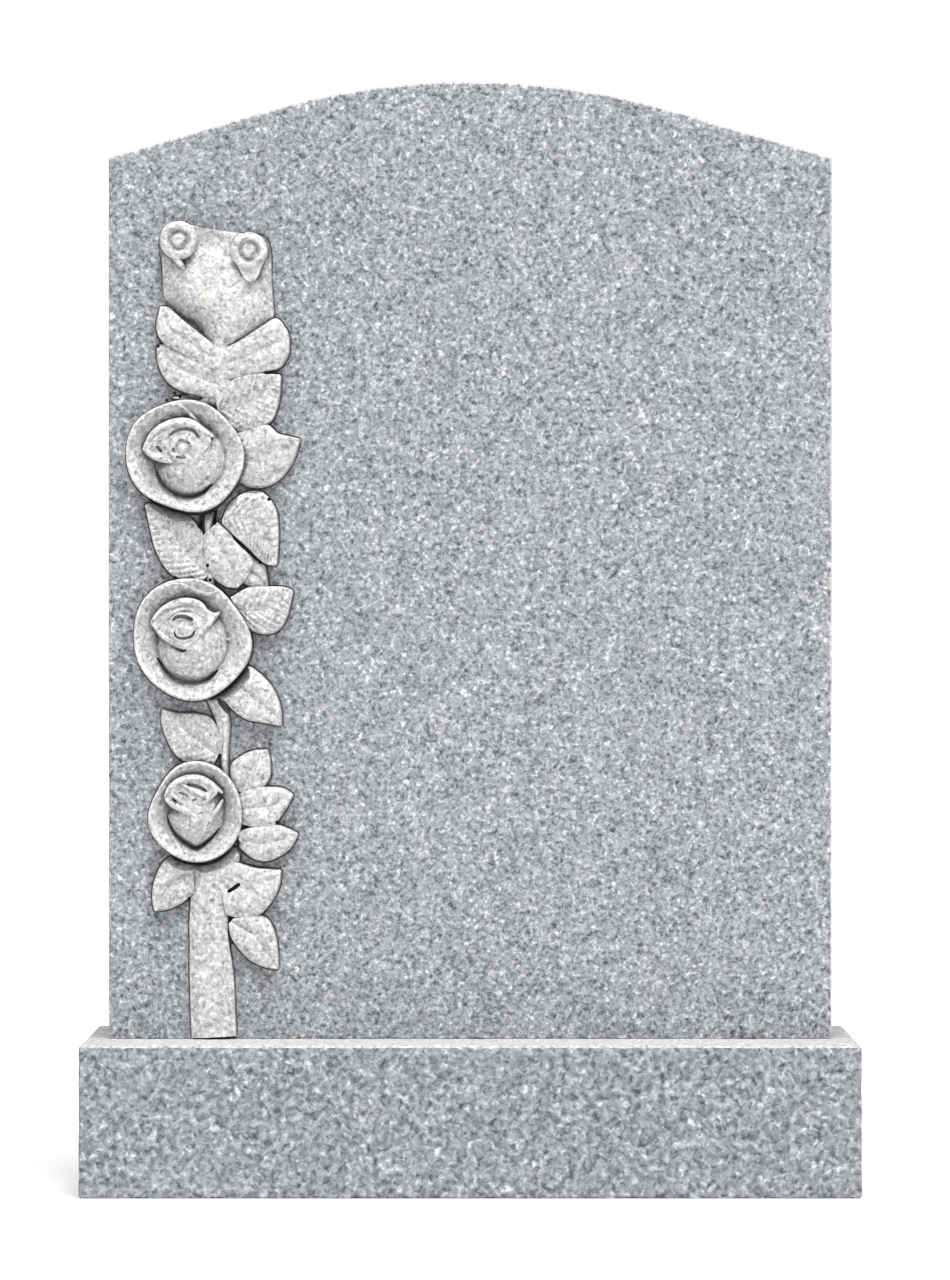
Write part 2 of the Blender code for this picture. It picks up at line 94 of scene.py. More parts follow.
def granite(name, crystal, shades, mica, roughness, relief, painted_corner_shade=0.0):
    """A granite of grey crystals about `crystal` millimetres wide.

    shades are sRGB hex values from the darkest crystal to the palest. mica is the share of the surface
    in black flecks, and relief how far the grain stands out in millimetres. The last argument is how much
    darker the carving's deepest corners are painted, read from the mesh's attribute "hollow": painted
    shade, and some dirt. Where it is given, crests are also painted up to 1.2 times paler, a painted
    highlight with some wear.
    """
    material = bpy.data.materials.new(name)
    material.use_nodes = True
    tree = material.node_tree
    shader = tree.nodes["Principled BSDF"]
    place = add_node(tree, "ShaderNodeTexCoord", {})
    in_mm = add_node(
        tree, "ShaderNodeVectorMath", {0: place.outputs["Object"], "Scale": 1000.0}, operation="SCALE")

    # The crystals interlock, so their borders are bent by a noise before they are drawn
    bend = add_node(
        tree, "ShaderNodeTexNoise", {"Vector": in_mm.outputs[0], "Scale": 0.55 / crystal, "Detail": 2.0})
    centred = add_node(
        tree, "ShaderNodeVectorMath", {0: bend.outputs["Color"], 1: (0.5, 0.5, 0.5)}, operation="SUBTRACT")
    bent = add_node(
        tree, "ShaderNodeVectorMath",
        {0: centred.outputs[0], 1: (3.2 * crystal,) * 3, 2: in_mm.outputs[0]}, operation="MULTIPLY_ADD")
    cells = add_node(tree, "ShaderNodeTexVoronoi", {"Vector": bent.outputs[0], "Scale": 0.9 / crystal})
    grains = add_node(
        tree, "ShaderNodeTexNoise",
        {"Vector": in_mm.outputs[0], "Scale": 0.85 / crystal,
         "Detail": 3.0, "Roughness": 0.55, "Distortion": 0.6})
    cell_shade = add_node(tree, "ShaderNodeSeparateColor", {"Color": cells.outputs["Color"]})
    cell_part = add_node(
        tree, "ShaderNodeMapRange", {"Value": cell_shade.outputs[0], "To Min": -0.17, "To Max": 0.17})
    grain_part = add_node(
        tree, "ShaderNodeMapRange",
        {"Value": grains.outputs[0], "From Min": 0.3, "From Max": 0.7, "To Min": -0.42, "To Max": 0.42})
    shade = add_node(
        tree, "ShaderNodeMath", {0: cell_part.outputs[0], 1: grain_part.outputs[0], 2: 0.5}, operation="ADD")
    level = add_node(tree, "ShaderNodeMath", {0: shade.outputs[0], 1: 0.5}, operation="ADD")
    ramp = add_node(tree, "ShaderNodeValToRGB", {"Fac": level.outputs[0]})
    stops = ramp.color_ramp.elements
    while len(stops) < len(shades):
        stops.new(0.5)
    for stop, place_on_ramp, shade_hex in zip(stops, np.linspace(0, 1, len(shades)), shades):
        stop.position = place_on_ramp
        stop.color = colour(shade_hex)

    # Feldspar clouds the stone a little, some of it cool and some of it greenish, over a few centimetres
    clouds = add_node(tree, "ShaderNodeTexNoise", {"Vector": in_mm.outputs[0], "Scale": 0.035, "Detail": 3.0})
    cloud_tint = add_node(tree, "ShaderNodeValToRGB", {"Fac": clouds.outputs[0]})
    cloud_tint.color_ramp.elements[0].position = 0.3
    cloud_tint.color_ramp.elements[0].color = (0.945, 0.957, 0.978, 1)
    cloud_tint.color_ramp.elements[1].position = 0.7
    cloud_tint.color_ramp.elements[1].color = (1.0, 1.0, 0.985, 1)
    clouded = add_node(
        tree, "ShaderNodeMix", {0: 1.0, 6: ramp.outputs[0], 7: cloud_tint.outputs[0]},
        data_type="RGBA", blend_type="MULTIPLY")

    # Black mica: small flecks, each at the heart of a cell
    flecks = add_node(tree, "ShaderNodeTexVoronoi", {"Vector": bent.outputs[0], "Scale": 0.42 / crystal})
    fleck = add_node(
        tree, "ShaderNodeMapRange",
        {"Value": flecks.outputs["Distance"], "From Min": mica, "From Max": mica + 0.08,
         "To Min": 0.75, "To Max": 0.0})
    speckled = add_node(
        tree, "ShaderNodeMix", {0: fleck.outputs[0], 6: clouded.outputs[2], 7: colour("3b3d40")},
        data_type="RGBA")
    finished = speckled.outputs[2]

    if painted_corner_shade:
        # Painted shade and some dirt darken the carving's corners, and a painted highlight, with some wear,
        # makes its crests paler
        depth = add_node(tree, "ShaderNodeAttribute", {}, attribute_name="hollow")
        painted_shade = add_node(
            tree, "ShaderNodeMapRange",
            {"Value": depth.outputs["Fac"], "From Min": 0.15, "To Min": 1.0, "To Max": 1.0 - painted_corner_shade})
        # Painted highlight: crests up to 1.2 times paler
        pale = add_node(
            tree, "ShaderNodeMapRange",
            {"Value": depth.outputs["Fac"], "From Min": -0.35, "From Max": -0.03,
             "To Min": 1.20, "To Max": 1.0})
        painted_shade_and_highlight = add_node(
            tree, "ShaderNodeMath", {0: painted_shade.outputs[0], 1: pale.outputs[0]}, operation="MULTIPLY")
        shaded = add_node(
            tree, "ShaderNodeVectorMath", {0: finished, "Scale": painted_shade_and_highlight.outputs[0]}, operation="SCALE")
        finished = shaded.outputs[0]
    tree.links.new(finished, shader.inputs["Base Color"])

    # Mica and quartz take a different polish, and the grain stands out by a hair
    polish = add_node(
        tree, "ShaderNodeMapRange",
        {"Value": grains.outputs[0], "From Min": 0.3, "From Max": 0.7,
         "To Min": roughness + 0.07, "To Max": roughness - 0.07})
    tree.links.new(polish.outputs[0], shader.inputs["Roughness"])
    bump = add_node(
        tree, "ShaderNodeBump", {"Strength": 1.0, "Distance": relief / 1000, "Height": grains.outputs[0]})
    tree.links.new(bump.outputs[0], shader.inputs["Normal"])
    shader.inputs["IOR"].default_value = 1.54
    return material


def finished_mesh(name, points, faces):
    """A mesh from points and faces, shaded smooth except over its sharper edges, its faces outwards."""
    mesh = bpy.data.meshes.new(name)
    mesh.from_pydata(points, [], faces)
    shape = bmesh.new()
    shape.from_mesh(mesh)
    bmesh.ops.recalc_face_normals(shape, faces=shape.faces)
    shape.to_mesh(mesh)
    shape.free()
    mesh.shade_smooth()
    mesh.set_sharp_from_angle(angle=math.radians(35))
    return mesh


def eased_block(name, foot, half_width, top, front, back, arris, foot_arris, cell, chips):
    """A stone sawn to a flat foot, upright sides and a top given as a height over x, its edges eased.

    The front is a grid: x in even steps, z an even share of the way from foot to top. Its border is
    walked anticlockwise, with the way out of each side and, at each corner, ways that turn between two
    sides. A ring of the surface is the border plus arris times the way out times the cosine of an
    angle, at a depth that goes with its sine, so every edge is a quarter round, and the foot's goes
    over to foot_arris. Chips bite into the round where a sum of waves along the edge is high, by up to
    1.5 times the size `chips`. The back is the same grid.
    """
    columns = round(2 * half_width / cell)
    rows = round((float(top(np.zeros(1))[0]) - foot) / cell)
    x = np.linspace(-1, 1, columns + 1) * (half_width - arris)
    high = top(x)
    rise = np.linspace(0, 1, rows + 1)[:, None]
    flat = np.stack(np.broadcast_arrays(x, foot + foot_arris + rise * (high - foot - foot_arris)), axis=-1)
    index = np.arange((rows + 1) * (columns + 1)).reshape(rows + 1, columns + 1)
    slope = np.gradient(high, x)
    up_and_out = np.stack([-slope, np.ones_like(slope)], axis=1) / np.sqrt(1 + slope**2)[:, None]
    sides = (
        (index[0], np.tile([0.0, -1.0], (columns + 1, 1))),
        (index[:, -1], np.tile([1.0, 0.0], (rows + 1, 1))),
        (index[-1, ::-1], up_and_out[::-1]),
        (index[::-1, 0], np.tile([-1.0, 0.0], (rows + 1, 1))),
    )
    border = []
    ways_out = []
    for (side, ways), (_, next_ways) in zip(sides, (*sides[1:], sides[0])):
        turn = np.array([[0.33], [0.67]])
        corner = (1 - turn) * ways[-1] + turn * next_ways[0]
        border.append(np.concatenate([side, [side[-1]] * 2]))
        ways_out.append(np.concatenate([ways, corner / np.linalg.norm(corner, axis=1, keepdims=True)]))
    border = np.concatenate(border)
    ways_out = np.concatenate(ways_out)
    edge = flat.reshape(-1, 2)[border]
    ease = np.interp(-ways_out[:, 1], [0, 1], [arris, foot_arris])

    run = np.cumsum(np.linalg.norm(np.diff(edge, axis=0, prepend=edge[:1]), axis=1))
    rings = []
    for end, inward, angles in ((front, 1, (68, 45, 22, 0)), (back, -1, (0, 22, 45, 68))):
        rough = sum(
            np.sin(math.tau * run / wave + wave * 900 + inward) for wave in (0.023, 0.031, 0.057, 0.103))
        for angle in np.radians(angles):
            bite = chips * ease / arris * np.clip(rough - 1.2, 0, 1.5) * math.sin(2 * angle + 0.4)
            out = edge + ways_out * (ease * math.cos(angle) - bite)[:, None]
            depth = end + inward * ease * (1 - math.sin(angle))
            rings.append(np.stack([out[:, 0], depth, out[:, 1]], axis=1))
    grid = flat.reshape(-1, 2)
    caps = [np.stack([grid[:, 0], np.full(len(grid), end), grid[:, 1]], axis=1) for end in (front, back)]
    loops = np.arange(len(rings) * len(border)).reshape(len(rings), -1) + 2 * index.size
    loops = np.concatenate([border[None], loops, border[None] + index.size])
    after = np.roll(loops, -1, axis=1)
    round_edges = np.stack([loops[:-1], loops[1:], after[1:], after[:-1]], axis=-1).reshape(-1, 4)
    front_cells = np.stack([index[:-1, :-1], index[:-1, 1:], index[1:, 1:], index[1:, :-1]], axis=-1)
    front_cells = front_cells.reshape(-1, 4)
    faces = [
        *front_cells.tolist(),
        *(front_cells[:, ::-1] + index.size).tolist(),
        *(list(dict.fromkeys(face)) for face in round_edges.tolist()),
    ]
    return finished_mesh(name, np.concatenate([*caps, *rings]), [face for face in faces if len(face) > 2])


sawn_granite = granite(
    "Fine-sawn grey granite",  # a shade darker and coarser than the tablet, with little gloss
    crystal=4.6,
    shades=("35373a", "5e6063", "787a7d", "8d8f92", "a4a6a8", "cfcfd1"),
    mica=0.10,
    roughness=0.5,
    relief=0.25,
)
axed_granite_and_painted_light = granite(
    "Fine-axed grey granite",  # pale, dry and rough, with the mica bruised to grey
    crystal=2.9,
    shades=("767675", "989897", "b0b0af", "bdbdbc", "cfcfce", "f0f0ef"),
    mica=0.05,
    roughness=0.72,
    relief=0.30,
    # painted shade in the carving's corners, and a painted highlight on its crests
    painted_corner_shade=0.72,
)


def base_top(x):
    """The base's top inside its arris, level all the way."""
    return np.full_like(x, BASE_HEIGHT - BASE_ARRIS)


base_mesh = eased_block(
    "base_stone", 0, BASE_WIDTH / 2, base_top, -BASE_DEPTH / 2, BASE_DEPTH / 2,
    arris=BASE_ARRIS, foot_arris=BASE_ARRIS, cell=0.006, chips=0.0008)
base_mesh.materials.append(sawn_granite)
base_mesh.materials.append(axed_granite_and_painted_light)
# Faces that look upwards take the pale axed granite: a painted highlight on the base's top.
normals = np.zeros(3 * len(base_mesh.polygons))
base_mesh.polygons.foreach_get("normal", normals)
painted_highlight_faces = normals[2::3] > 0.3
base_mesh.polygons.foreach_set("material_index", painted_highlight_faces.astype(np.int32))
base_stone = bpy.data.objects.new("base_stone", base_mesh)
bpy.context.scene.collection.objects.link(base_stone)
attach(base_stone, "root")
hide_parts("base")


# Tablet
#
# The tablet is a slab of the same granite, honed, with an arched head. It is cut with its carving
# from one stone, so the slab made here is joined to the carving below.

TABLET_WIDTH = 0.610
TABLET_THICKNESS = 0.100
TABLET_FOOT = 0.1273
CROWN = 0.9343
ARCH_RADIUS = 0.610
FLANK_SLOPE = math.radians(16.5)
TABLET_ARRIS = 0.002
FOOT_ARRIS = 0.0004
FACE_Y = -TABLET_THICKNESS / 2


def tablet_top(x):
    """The tablet's top inside its arris: an arc about a centre on the middle line, then straight flanks."""
    radius = ARCH_RADIUS - TABLET_ARRIS
    reach = radius * math.sin(FLANK_SLOPE)
    arc = CROWN - ARCH_RADIUS + np.sqrt(radius**2 - np.minimum(np.abs(x), reach) ** 2)
    return arc - np.maximum(np.abs(x) - reach, 0) * math.tan(FLANK_SLOPE)


slab_mesh = eased_block(
    "slab", TABLET_FOOT, TABLET_WIDTH / 2, tablet_top, FACE_Y, -FACE_Y,
    arris=TABLET_ARRIS, foot_arris=FOOT_ARRIS, cell=0.012, chips=0.0005)
slab = bpy.data.objects.new("slab", slab_mesh)
bpy.context.scene.collection.objects.link(slab)


# Rose stem: how it is laid out and cut
#
# The carving stands proud of the face, fine-axed, its walls cut nearly upright with a quirk at their foot.
# It is laid out from the foot of its stem in hundredths of its own height, across and up.

UNIT = 0.006864
STEM_X = -0.217
STEM_Z = 0.1288
BATTER = 0.0007
INSIDE_THE_STONE = -0.006
CLEAR_OF_THE_STONE = 0.045
QUIRK_DEPTH = 0.0011
QUIRK_WIDTH = 0.0010

quirks = bpy.data.collections.new("Quirks")
leaves_and_stem = bpy.data.collections.new("Leaves and stem")
gouges = bpy.data.collections.new("Gouges and drill holes")
roses_and_bud = bpy.data.collections.new("Roses and bud")
fine_cuts = bpy.data.collections.new("Fine cuts")


def on_the_face(across, up, relief):
    """Points of the layout as rows of x, y, z, standing out from the tablet's face by relief in metres."""
    x = STEM_X + UNIT * across
    z = STEM_Z + UNIT * up
    return np.stack(np.broadcast_arrays(x, FACE_Y - relief, z), axis=-1).reshape(-1, 3)


def chiselled(across, up):
    """The unevenness that the chisel left, in metres: a sum of five slanting waves 7 to 11 mm long."""
    waves = (
        (0.37, 0.92, 1.3), (-0.83, 0.61, 0.2), (1.15, -0.35, 2.6), (0.55, 1.55, 4.0), (-1.45, -0.75, 5.1),
    )
    return 0.00014 * sum(np.sin(math.tau * (a * across + b * up) / 1.6 + c) for a, b, c in waves)


def carve(name, across, up, relief, cells, rim, home, cutter=False):
    """One closed solid: a surface over the face, and walls from its rim.

    A carved piece's walls go into the stone, each loop of them further out by the batter: half-way
    down, at the face, and inside. A cutter's walls go straight out of the stone. The way out is the
    rim's run turned a right angle away from what it encloses. A carved piece also leaves a quirk, which
    is its outline widened and cut a little into the face.
    """
    rim_across, rim_up, rim_relief = (part.ravel()[rim] for part in np.broadcast_arrays(across, up, relief))
    run = np.stack([np.roll(part, -1) - np.roll(part, 1) for part in (rim_across, rim_up)])
    run /= np.linalg.norm(run, axis=0) + 1e-9
    turning = np.sign(np.sum(rim_across * np.roll(rim_up, -1) - np.roll(rim_across, -1) * rim_up))
    out = turning * np.stack([run[1], -run[0]]) / UNIT

    def loop(way_out, height):
        return on_the_face(rim_across + way_out * out[0], rim_up + way_out * out[1], height)

    walls = [loop(0, CLEAR_OF_THE_STONE)]
    if not cutter:
        walls = [loop(0.3 * BATTER, 0.45 * rim_relief), loop(BATTER, 0.0), loop(BATTER, INSIDE_THE_STONE)]
        foot = [loop(BATTER + 0.5 * QUIRK_WIDTH, -QUIRK_DEPTH), loop(BATTER + 1.5 * QUIRK_WIDTH, QUIRK_DEPTH)]
        ends = np.arange(2 * len(rim)).reshape(2, -1)
        sides = np.stack([ends[0], ends[1], np.roll(ends[1], -1), np.roll(ends[0], -1)], axis=-1)
        faces = [*sides.tolist(), ends[0].tolist(), ends[1, ::-1].tolist()]
        quirk = finished_mesh(f"{name}_quirk", np.concatenate(foot), faces)
        quirks.objects.link(bpy.data.objects.new(quirk.name, quirk))
    surface = on_the_face(across, up, relief)
    loops = np.stack([rim, *(len(surface) + np.arange(len(walls) * len(rim)).reshape(len(walls), -1))])
    after = np.roll(loops, -1, axis=1)
    sides = np.stack([loops[:-1], loops[1:], after[1:], after[:-1]], axis=-1).reshape(-1, 4)
    faces = [*cells, *sides.tolist(), loops[-1, ::-1].tolist()]
    mesh = finished_mesh(name, np.concatenate([surface, *walls]), faces)
    home.objects.link(bpy.data.objects.new(name, mesh))


def carved_strip(name, across, up, relief, home, cutter=False):
    """A solid whose surface is a grid of rows and columns."""
    rows, columns = across.shape
    index = np.arange(rows * columns).reshape(rows, columns)
    rim = np.concatenate([index[0, :-1], index[:-1, -1], index[-1, :0:-1], index[:0:-1, 0]])
    cells = np.stack([index[:-1, :-1], index[:-1, 1:], index[1:, 1:], index[1:, :-1]], axis=-1).reshape(-1, 4)
    rough = 0 if cutter else chiselled(across, up)
    carve(name, across, up, relief + rough, cells.tolist(), rim, home, cutter)


def carved_round(name, centre, radii, shares, relief, steps, swell=lambda turn: 1):
    """A solid whose surface is rings about a centre.

    shares are the rings' shares of the radii. relief is a function of the points' across and up, the
    ring's share and the turn, and swell one of the turn, which changes the outline.
    """
    turn = np.arange(steps) * math.tau / steps
    share = np.array(shares)[:, None]
    across = centre[0] + share * radii[0] * swell(turn) * np.cos(turn)
    up = centre[1] + share * radii[1] * swell(turn) * np.sin(turn)
    height = relief(across, up, share, turn) + chiselled(across, up)
    rings = np.arange(len(shares) * steps).reshape(-1, steps)
    after = np.roll(rings, -1, axis=1)
    fan = np.stack([np.full(steps, rings.size), rings[0], after[0]], axis=-1)
    cells = np.stack([rings[:-1], rings[1:], after[1:], after[:-1]], axis=-1).reshape(-1, 4)
    across = np.append(across.ravel(), centre[0])
    up = np.append(up.ravel(), centre[1])
    height = np.append(height.ravel(), height[0].mean())
    carve(name, across, up, height, [*fan.tolist(), *cells.tolist()], rings[-1], roses_and_bud)


def along(points, shares):
    """A smooth line through a few points, a Catmull-Rom curve, read at shares of its length."""
    path = np.array(points, float)
    path = np.vstack([2 * path[0] - path[1], path, 2 * path[-1] - path[-2]])
    spans = len(path) - 3
    place = np.linspace(0, spans, 24 * spans + 1)
    span = np.minimum(place.astype(int), spans - 1)
    t = (place - span)[:, None]
    a, b, c, d = (path[span + k] for k in range(4))
    line = b + 0.5 * t * (c - a + t * (2 * a - 5 * b + 4 * c - d + t * (3 * b - a - 3 * c + d)))
    run = np.concatenate([[0], np.cumsum(np.linalg.norm(np.diff(line, axis=0), axis=1))])
    return np.stack([np.interp(np.asarray(shares) * run[-1], run, line[:, k]) for k in (0, 1)], axis=1)


def ribbon(line, half_width, side):
    """A grid across a line: its across and its up, where side is each column's place from -1 to 1."""
    run = np.gradient(line, axis=0)
    run /= np.linalg.norm(run, axis=1, keepdims=True)
    offset = half_width[:, None] * side
    return line[:, :1] - offset * run[:, 1:], line[:, 1:] + offset * run[:, :1]


def worn_edge(distance, radius):
    """How far a surface drops near its edge: a quarter round, zero from one radius in."""
    return radius * (1 - np.sqrt(1 - np.clip(1 - distance / radius, 0, 1) ** 2))


def dented(relief, across, up, dents):
    """The relief with soft dents, each as its centre, its two radii in the layout and its depth in metres."""
    for a, b, wide, tall, deep in dents:
        relief = relief - deep * np.exp(-(((across - a) / wide) ** 2) - ((up - b) / tall) ** 2)
    return relief


def cut(name, route, width, floor, home, rise=None, fullness=6):
    """A hollow cut along a route, V-shaped where rise is left out.

    Its floor is at a relief in metres, and its sides climb by rise, as the power 1.4 of the way to its edge.
    Its width goes as 1 - 0.8 way^fullness, where way is how far along it lies from its middle to an end.
    """
    line = along(route, np.linspace(0, 1, 6 * len(route)))
    side = np.linspace(-1, 1, 9)
    way = np.linspace(-1, 1, len(line))
    across, up = ribbon(line, width / 2 * (1 - 0.8 * np.abs(way) ** fullness), side)
    climb = (rise or 0.4 * UNIT * width) * np.abs(side) ** (1.4 if rise else 1)
    carved_strip(name, across, up, floor + climb + 0 * across, home, cutter=True)


# Stem
#
# A grooved stem stands at the foot, and thin lengths of it show between the roses.
# A groove down its middle, and fine bark beside that, are cut along it.

STEM_RELIEF = 0.015


def stem(name, route, widths, height=1.0, groove=0.0, columns=15):
    """A half-round bar along its route: its section is the root of 1 - 0.72 side², less the groove."""
    length = sum(math.dist(a, b) for a, b in zip(route, route[1:]))
    s = np.linspace(0, 1, max(14, round(length * UNIT / 0.0016)) + 1)
    side = np.sin(np.linspace(-1, 1, columns) * math.pi / 2)
    half_width = np.interp(s, np.linspace(0, 1, len(widths)), widths) / 2
    across, up = ribbon(along(route, s), half_width, side)
    section = np.sqrt(1 - 0.72 * side**2) - groove * np.cos(math.tau * side) * (1 - side**2)
    bark = 0.0025 * groove * np.sin(9 * side + 2.5 * np.sin(7 * s[:, None])) * (1 - side**2)
    carved_strip(name, across, up, height * STEM_RELIEF * section + bark, leaves_and_stem)


stem(
    "stem_foot",
    [(0.15, 0.0), (0.0, 3.0), (-0.1, 6.5), (-0.45, 12.0), (-0.45, 15.0), (-0.1, 18.0), (0.5, 23.5)],
    (5.4, 5.4, 5.3, 4.7, 4.7, 5.4, 6.0), height=0.9, groove=0.07, columns=31)
stem(
    "stem_low",
    [(0.6, 22.0), (1.9, 29.0), (1.45, 33.5), (1.5, 36.0), (1.5, 38.4), (1.0, 40.6), (0.3, 43.0)],
    (1.8, 1.4, 0.95, 0.85, 0.85, 1.3, 1.6), height=0.66)
stem(
    "stem_low_fork", [(1.0, 34.8), (0.9, 38.3), (0.2, 40.6), (-0.6, 42.5)], (0.9, 0.9, 1.0, 1.2),
    height=0.52)
stem(
    "stem_middle", [(-0.3, 53.0), (-0.4, 59.2), (-0.55, 62.5), (-0.3, 66.0)], (1.3, 1.0, 0.85, 1.0),
    height=0.85)
stem("stem_high", [(2.2, 74.0), (1.5, 79.4), (0.9, 85.5)], (2.0, 2.2, 2.6), height=0.82)
stem(
    "stem_high_spur", [(-4.9, 78.5), (-3.4, 78.3), (-1.4, 78.2), (0.8, 78.4)], (0.15, 1.3, 1.8, 2.2),
    height=0.6)


# Leaves
#
# Eighteen leaves, each a flat pad with a crisp rim, two pillowed halves and a sunk midrib.
# On some the side veins are cut deep enough to see.

LEAF_RELIEF = 0.015
LEAF_RIM = 0.0018
LEAF_STEP = 0.0014
VEINED_LEAF_STEP = 0.0010
LEAF_COLUMNS = 13


def leaf(name, left, right, lift=(0.75, 1.0, 0.8), tilt=0.0, veins=0.0004, midrib=0.0011, dents=()):
    """A leaf between its left and right edges, each given from the root to the tip.

    Its rows are LEAF_STEP apart, or VEINED_LEAF_STEP where the veins are deep. side goes from
    -1 at the right edge to 1 at the left. lift is the surface's height at the root, the middle and the
    tip, and tilt raises its left side over its right, in shares of LEAF_RELIEF. The midrib and the
    veins are bell-shaped cuts, as deep as given in metres. The veins leave the midrib every 5.5 mm and
    slant to the tip.
    """
    edge_length = UNIT * sum(math.dist(a, b) for a, b in zip(left, left[1:]))
    step = VEINED_LEAF_STEP if veins > 0.001 else LEAF_STEP
    s = np.linspace(0, 1, round(edge_length / step) + 6)[:, None]
    s = 0.993 * (s - 0.06 * np.sin(math.tau * s))
    even = np.linspace(-1, 1, 2 * LEAF_COLUMNS + 1)
    side = even - 0.09 * np.sin(math.tau * even)
    left, right = along(left, s[:, 0]), along(right, s[:, 0])
    middle = (left + right) / 2
    half = (left - right) / 2
    across = middle[:, :1] + side * half[:, :1]
    up = middle[:, 1:] + side * half[:, 1:]

    half_width = UNIT * np.linalg.norm(half, axis=1, keepdims=True)
    length = UNIT * np.linalg.norm(np.diff(middle, axis=0), axis=1).sum()
    from_midrib = half_width * np.abs(side)
    from_rim = half_width * (1 - np.abs(side))
    crown = np.interp(s, [0, 0.5, 1], lift)
    pillow = half_width / half_width.max() * (0.15 * np.sin(math.pi * np.abs(side)) - 0.08 * side**2)
    midrib_cut = midrib * np.exp(-((from_midrib / 0.0012) ** 2)) * (1 - s**4)
    way = (length * s - 0.8 * from_midrib) / 0.0055
    between = np.abs(way - np.round(way)) * 0.0055
    vein_cut = veins * np.exp(-((between / 0.0013) ** 2)) * np.clip(from_midrib / 0.003, 0, 1)
    vein_cut *= np.clip(from_rim / 0.003, 0, 1)
    relief = LEAF_RELIEF * (crown + pillow + tilt * side) - midrib_cut - vein_cut
    relief -= worn_edge(from_rim, LEAF_RIM)
    carved_strip(name, across, up, dented(relief, across, up, dents), leaves_and_stem)


leaf(
    "leaf_01",
    [(0.6, 78.2), (-1.0, 78.5), (-3.0, 79.0), (-4.6, 79.7), (-5.9, 80.9), (-6.7, 82.7), (-6.9, 84.7)],
    [(1.6, 81.6), (0.2, 82.4), (-2.2, 83.7), (-4.0, 84.5), (-5.6, 85.1), (-6.8, 84.9)],
    lift=(0.7, 0.85, 0.7), midrib=0.0003)
leaf(
    "leaf_02",
    [(1.6, 81.4), (-0.4, 82.0), (-2.2, 82.9), (-4.3, 84.2), (-6.0, 85.2), (-6.9, 87.0), (-6.5, 89.5)],
    [(1.8, 84.6), (0.4, 84.9), (-0.6, 85.6), (-2.0, 86.7), (-3.8, 88.1), (-5.4, 89.5), (-6.4, 89.7)],
    lift=(0.8, 1.1, 0.95), midrib=0.0003)
leaf(
    "leaf_03", [(0.3, 84.0), (3.0, 85.3), (6.0, 87.2), (7.8, 88.2), (9.0, 86.9), (9.4, 85.8)],
    [(0.0, 80.6), (3.4, 80.9), (6.2, 81.6), (8.2, 82.2), (9.3, 83.9), (9.4, 85.6)], lift=(0.8, 1.1, 1.0),
    tilt=0.08, midrib=0.0002)
leaf(
    "leaf_04", [(0.2, 79.4), (2.2, 80.6), (4.0, 81.2), (6.0, 81.45), (8.3, 81.3)],
    [(1.0, 74.4), (4.0, 74.2), (6.0, 75.0), (7.3, 75.8), (8.1, 78.0), (8.4, 81.1)], lift=(0.75, 1.1, 1.0),
    veins=0.0020)
leaf(
    "leaf_05", [(1.6, 73.7), (4.5, 74.6), (6.6, 75.2), (8.0, 74.1), (9.5, 73.7), (10.7, 73.4)],
    [(2.6, 68.6), (4.5, 67.5), (6.5, 67.6), (8.3, 68.6), (9.8, 70.6), (10.7, 73.2)], lift=(0.75, 0.9, 0.85),
    tilt=0.2, midrib=0.0003, dents=((3.6, 69.8, 1.8, 1.6, 0.004),))
leaf(
    "leaf_06", [(1.2, 63.6), (2.2, 65.6), (4.2, 66.9), (6.2, 66.8), (7.7, 64.8), (8.05, 62.0), (7.9, 58.1)],
    [(1.2, 63.0), (2.6, 61.6), (4.4, 60.0), (5.8, 58.6), (6.8, 58.0), (7.8, 57.9)], lift=(1.0, 1.2, 0.95),
    veins=0.0018)
leaf(
    "leaf_07", [(-1.5, 55.5), (-4.6, 56.5), (-6.2, 58.2), (-7.2, 60.4), (-7.8, 63.0), (-8.3, 65.3)],
    [(0.3, 58.0), (-0.6, 60.6), (-2.0, 63.0), (-4.0, 64.6), (-6.2, 65.4), (-8.2, 65.5)],
    lift=(0.85, 0.85, 0.8), tilt=0.12, veins=0.0020)
leaf(
    "leaf_08", [(0.6, 63.2), (1.7, 62.3), (3.0, 61.0), (4.5, 59.6), (5.0, 58.2), (4.2, 56.4), (3.1, 55.2)],
    [(-1.2, 61.5), (-1.0, 59.0), (-0.6, 57.5), (0.3, 56.2), (1.6, 55.3), (3.0, 55.1)],
    lift=(0.9, 1.0, 0.75), midrib=0.0003)
leaf(
    "leaf_09", [(4.4, 59.2), (6.2, 58.1), (6.6, 56.9), (6.8, 55.3)],
    [(3.4, 56.0), (4.6, 55.2), (5.8, 55.0), (6.7, 55.0)], lift=(0.5, 0.55, 0.5))
leaf(
    "leaf_10", [(2.2, 54.0), (4.5, 55.2), (7.0, 55.3), (8.8, 55.2), (9.8, 54.8)],
    [(3.6, 51.2), (4.8, 49.9), (6.8, 49.5), (8.3, 50.2), (9.2, 51.9), (9.85, 54.6)], lift=(0.85, 1.05, 1.0),
    veins=0.0020)
leaf(
    "leaf_11", [(2.6, 43.8), (4.1, 45.5), (5.8, 44.6), (7.4, 42.8), (8.3, 40.5), (8.45, 38.3)],
    [(0.9, 42.2), (1.8, 40.9), (2.8, 39.9), (4.2, 39.0), (6.3, 38.6), (8.4, 38.2)], lift=(0.85, 1.1, 0.9),
    tilt=0.05)
leaf(
    "leaf_12", [(0.0, 33.2), (-2.5, 33.4), (-4.4, 34.5), (-5.6, 36.4), (-6.3, 38.5), (-6.3, 40.2)],
    [(1.2, 35.8), (0.7, 37.6), (-0.3, 39.2), (-2.2, 39.7), (-4.4, 39.8), (-6.2, 40.3)],
    lift=(0.6, 0.65, 0.45), veins=0.0013)
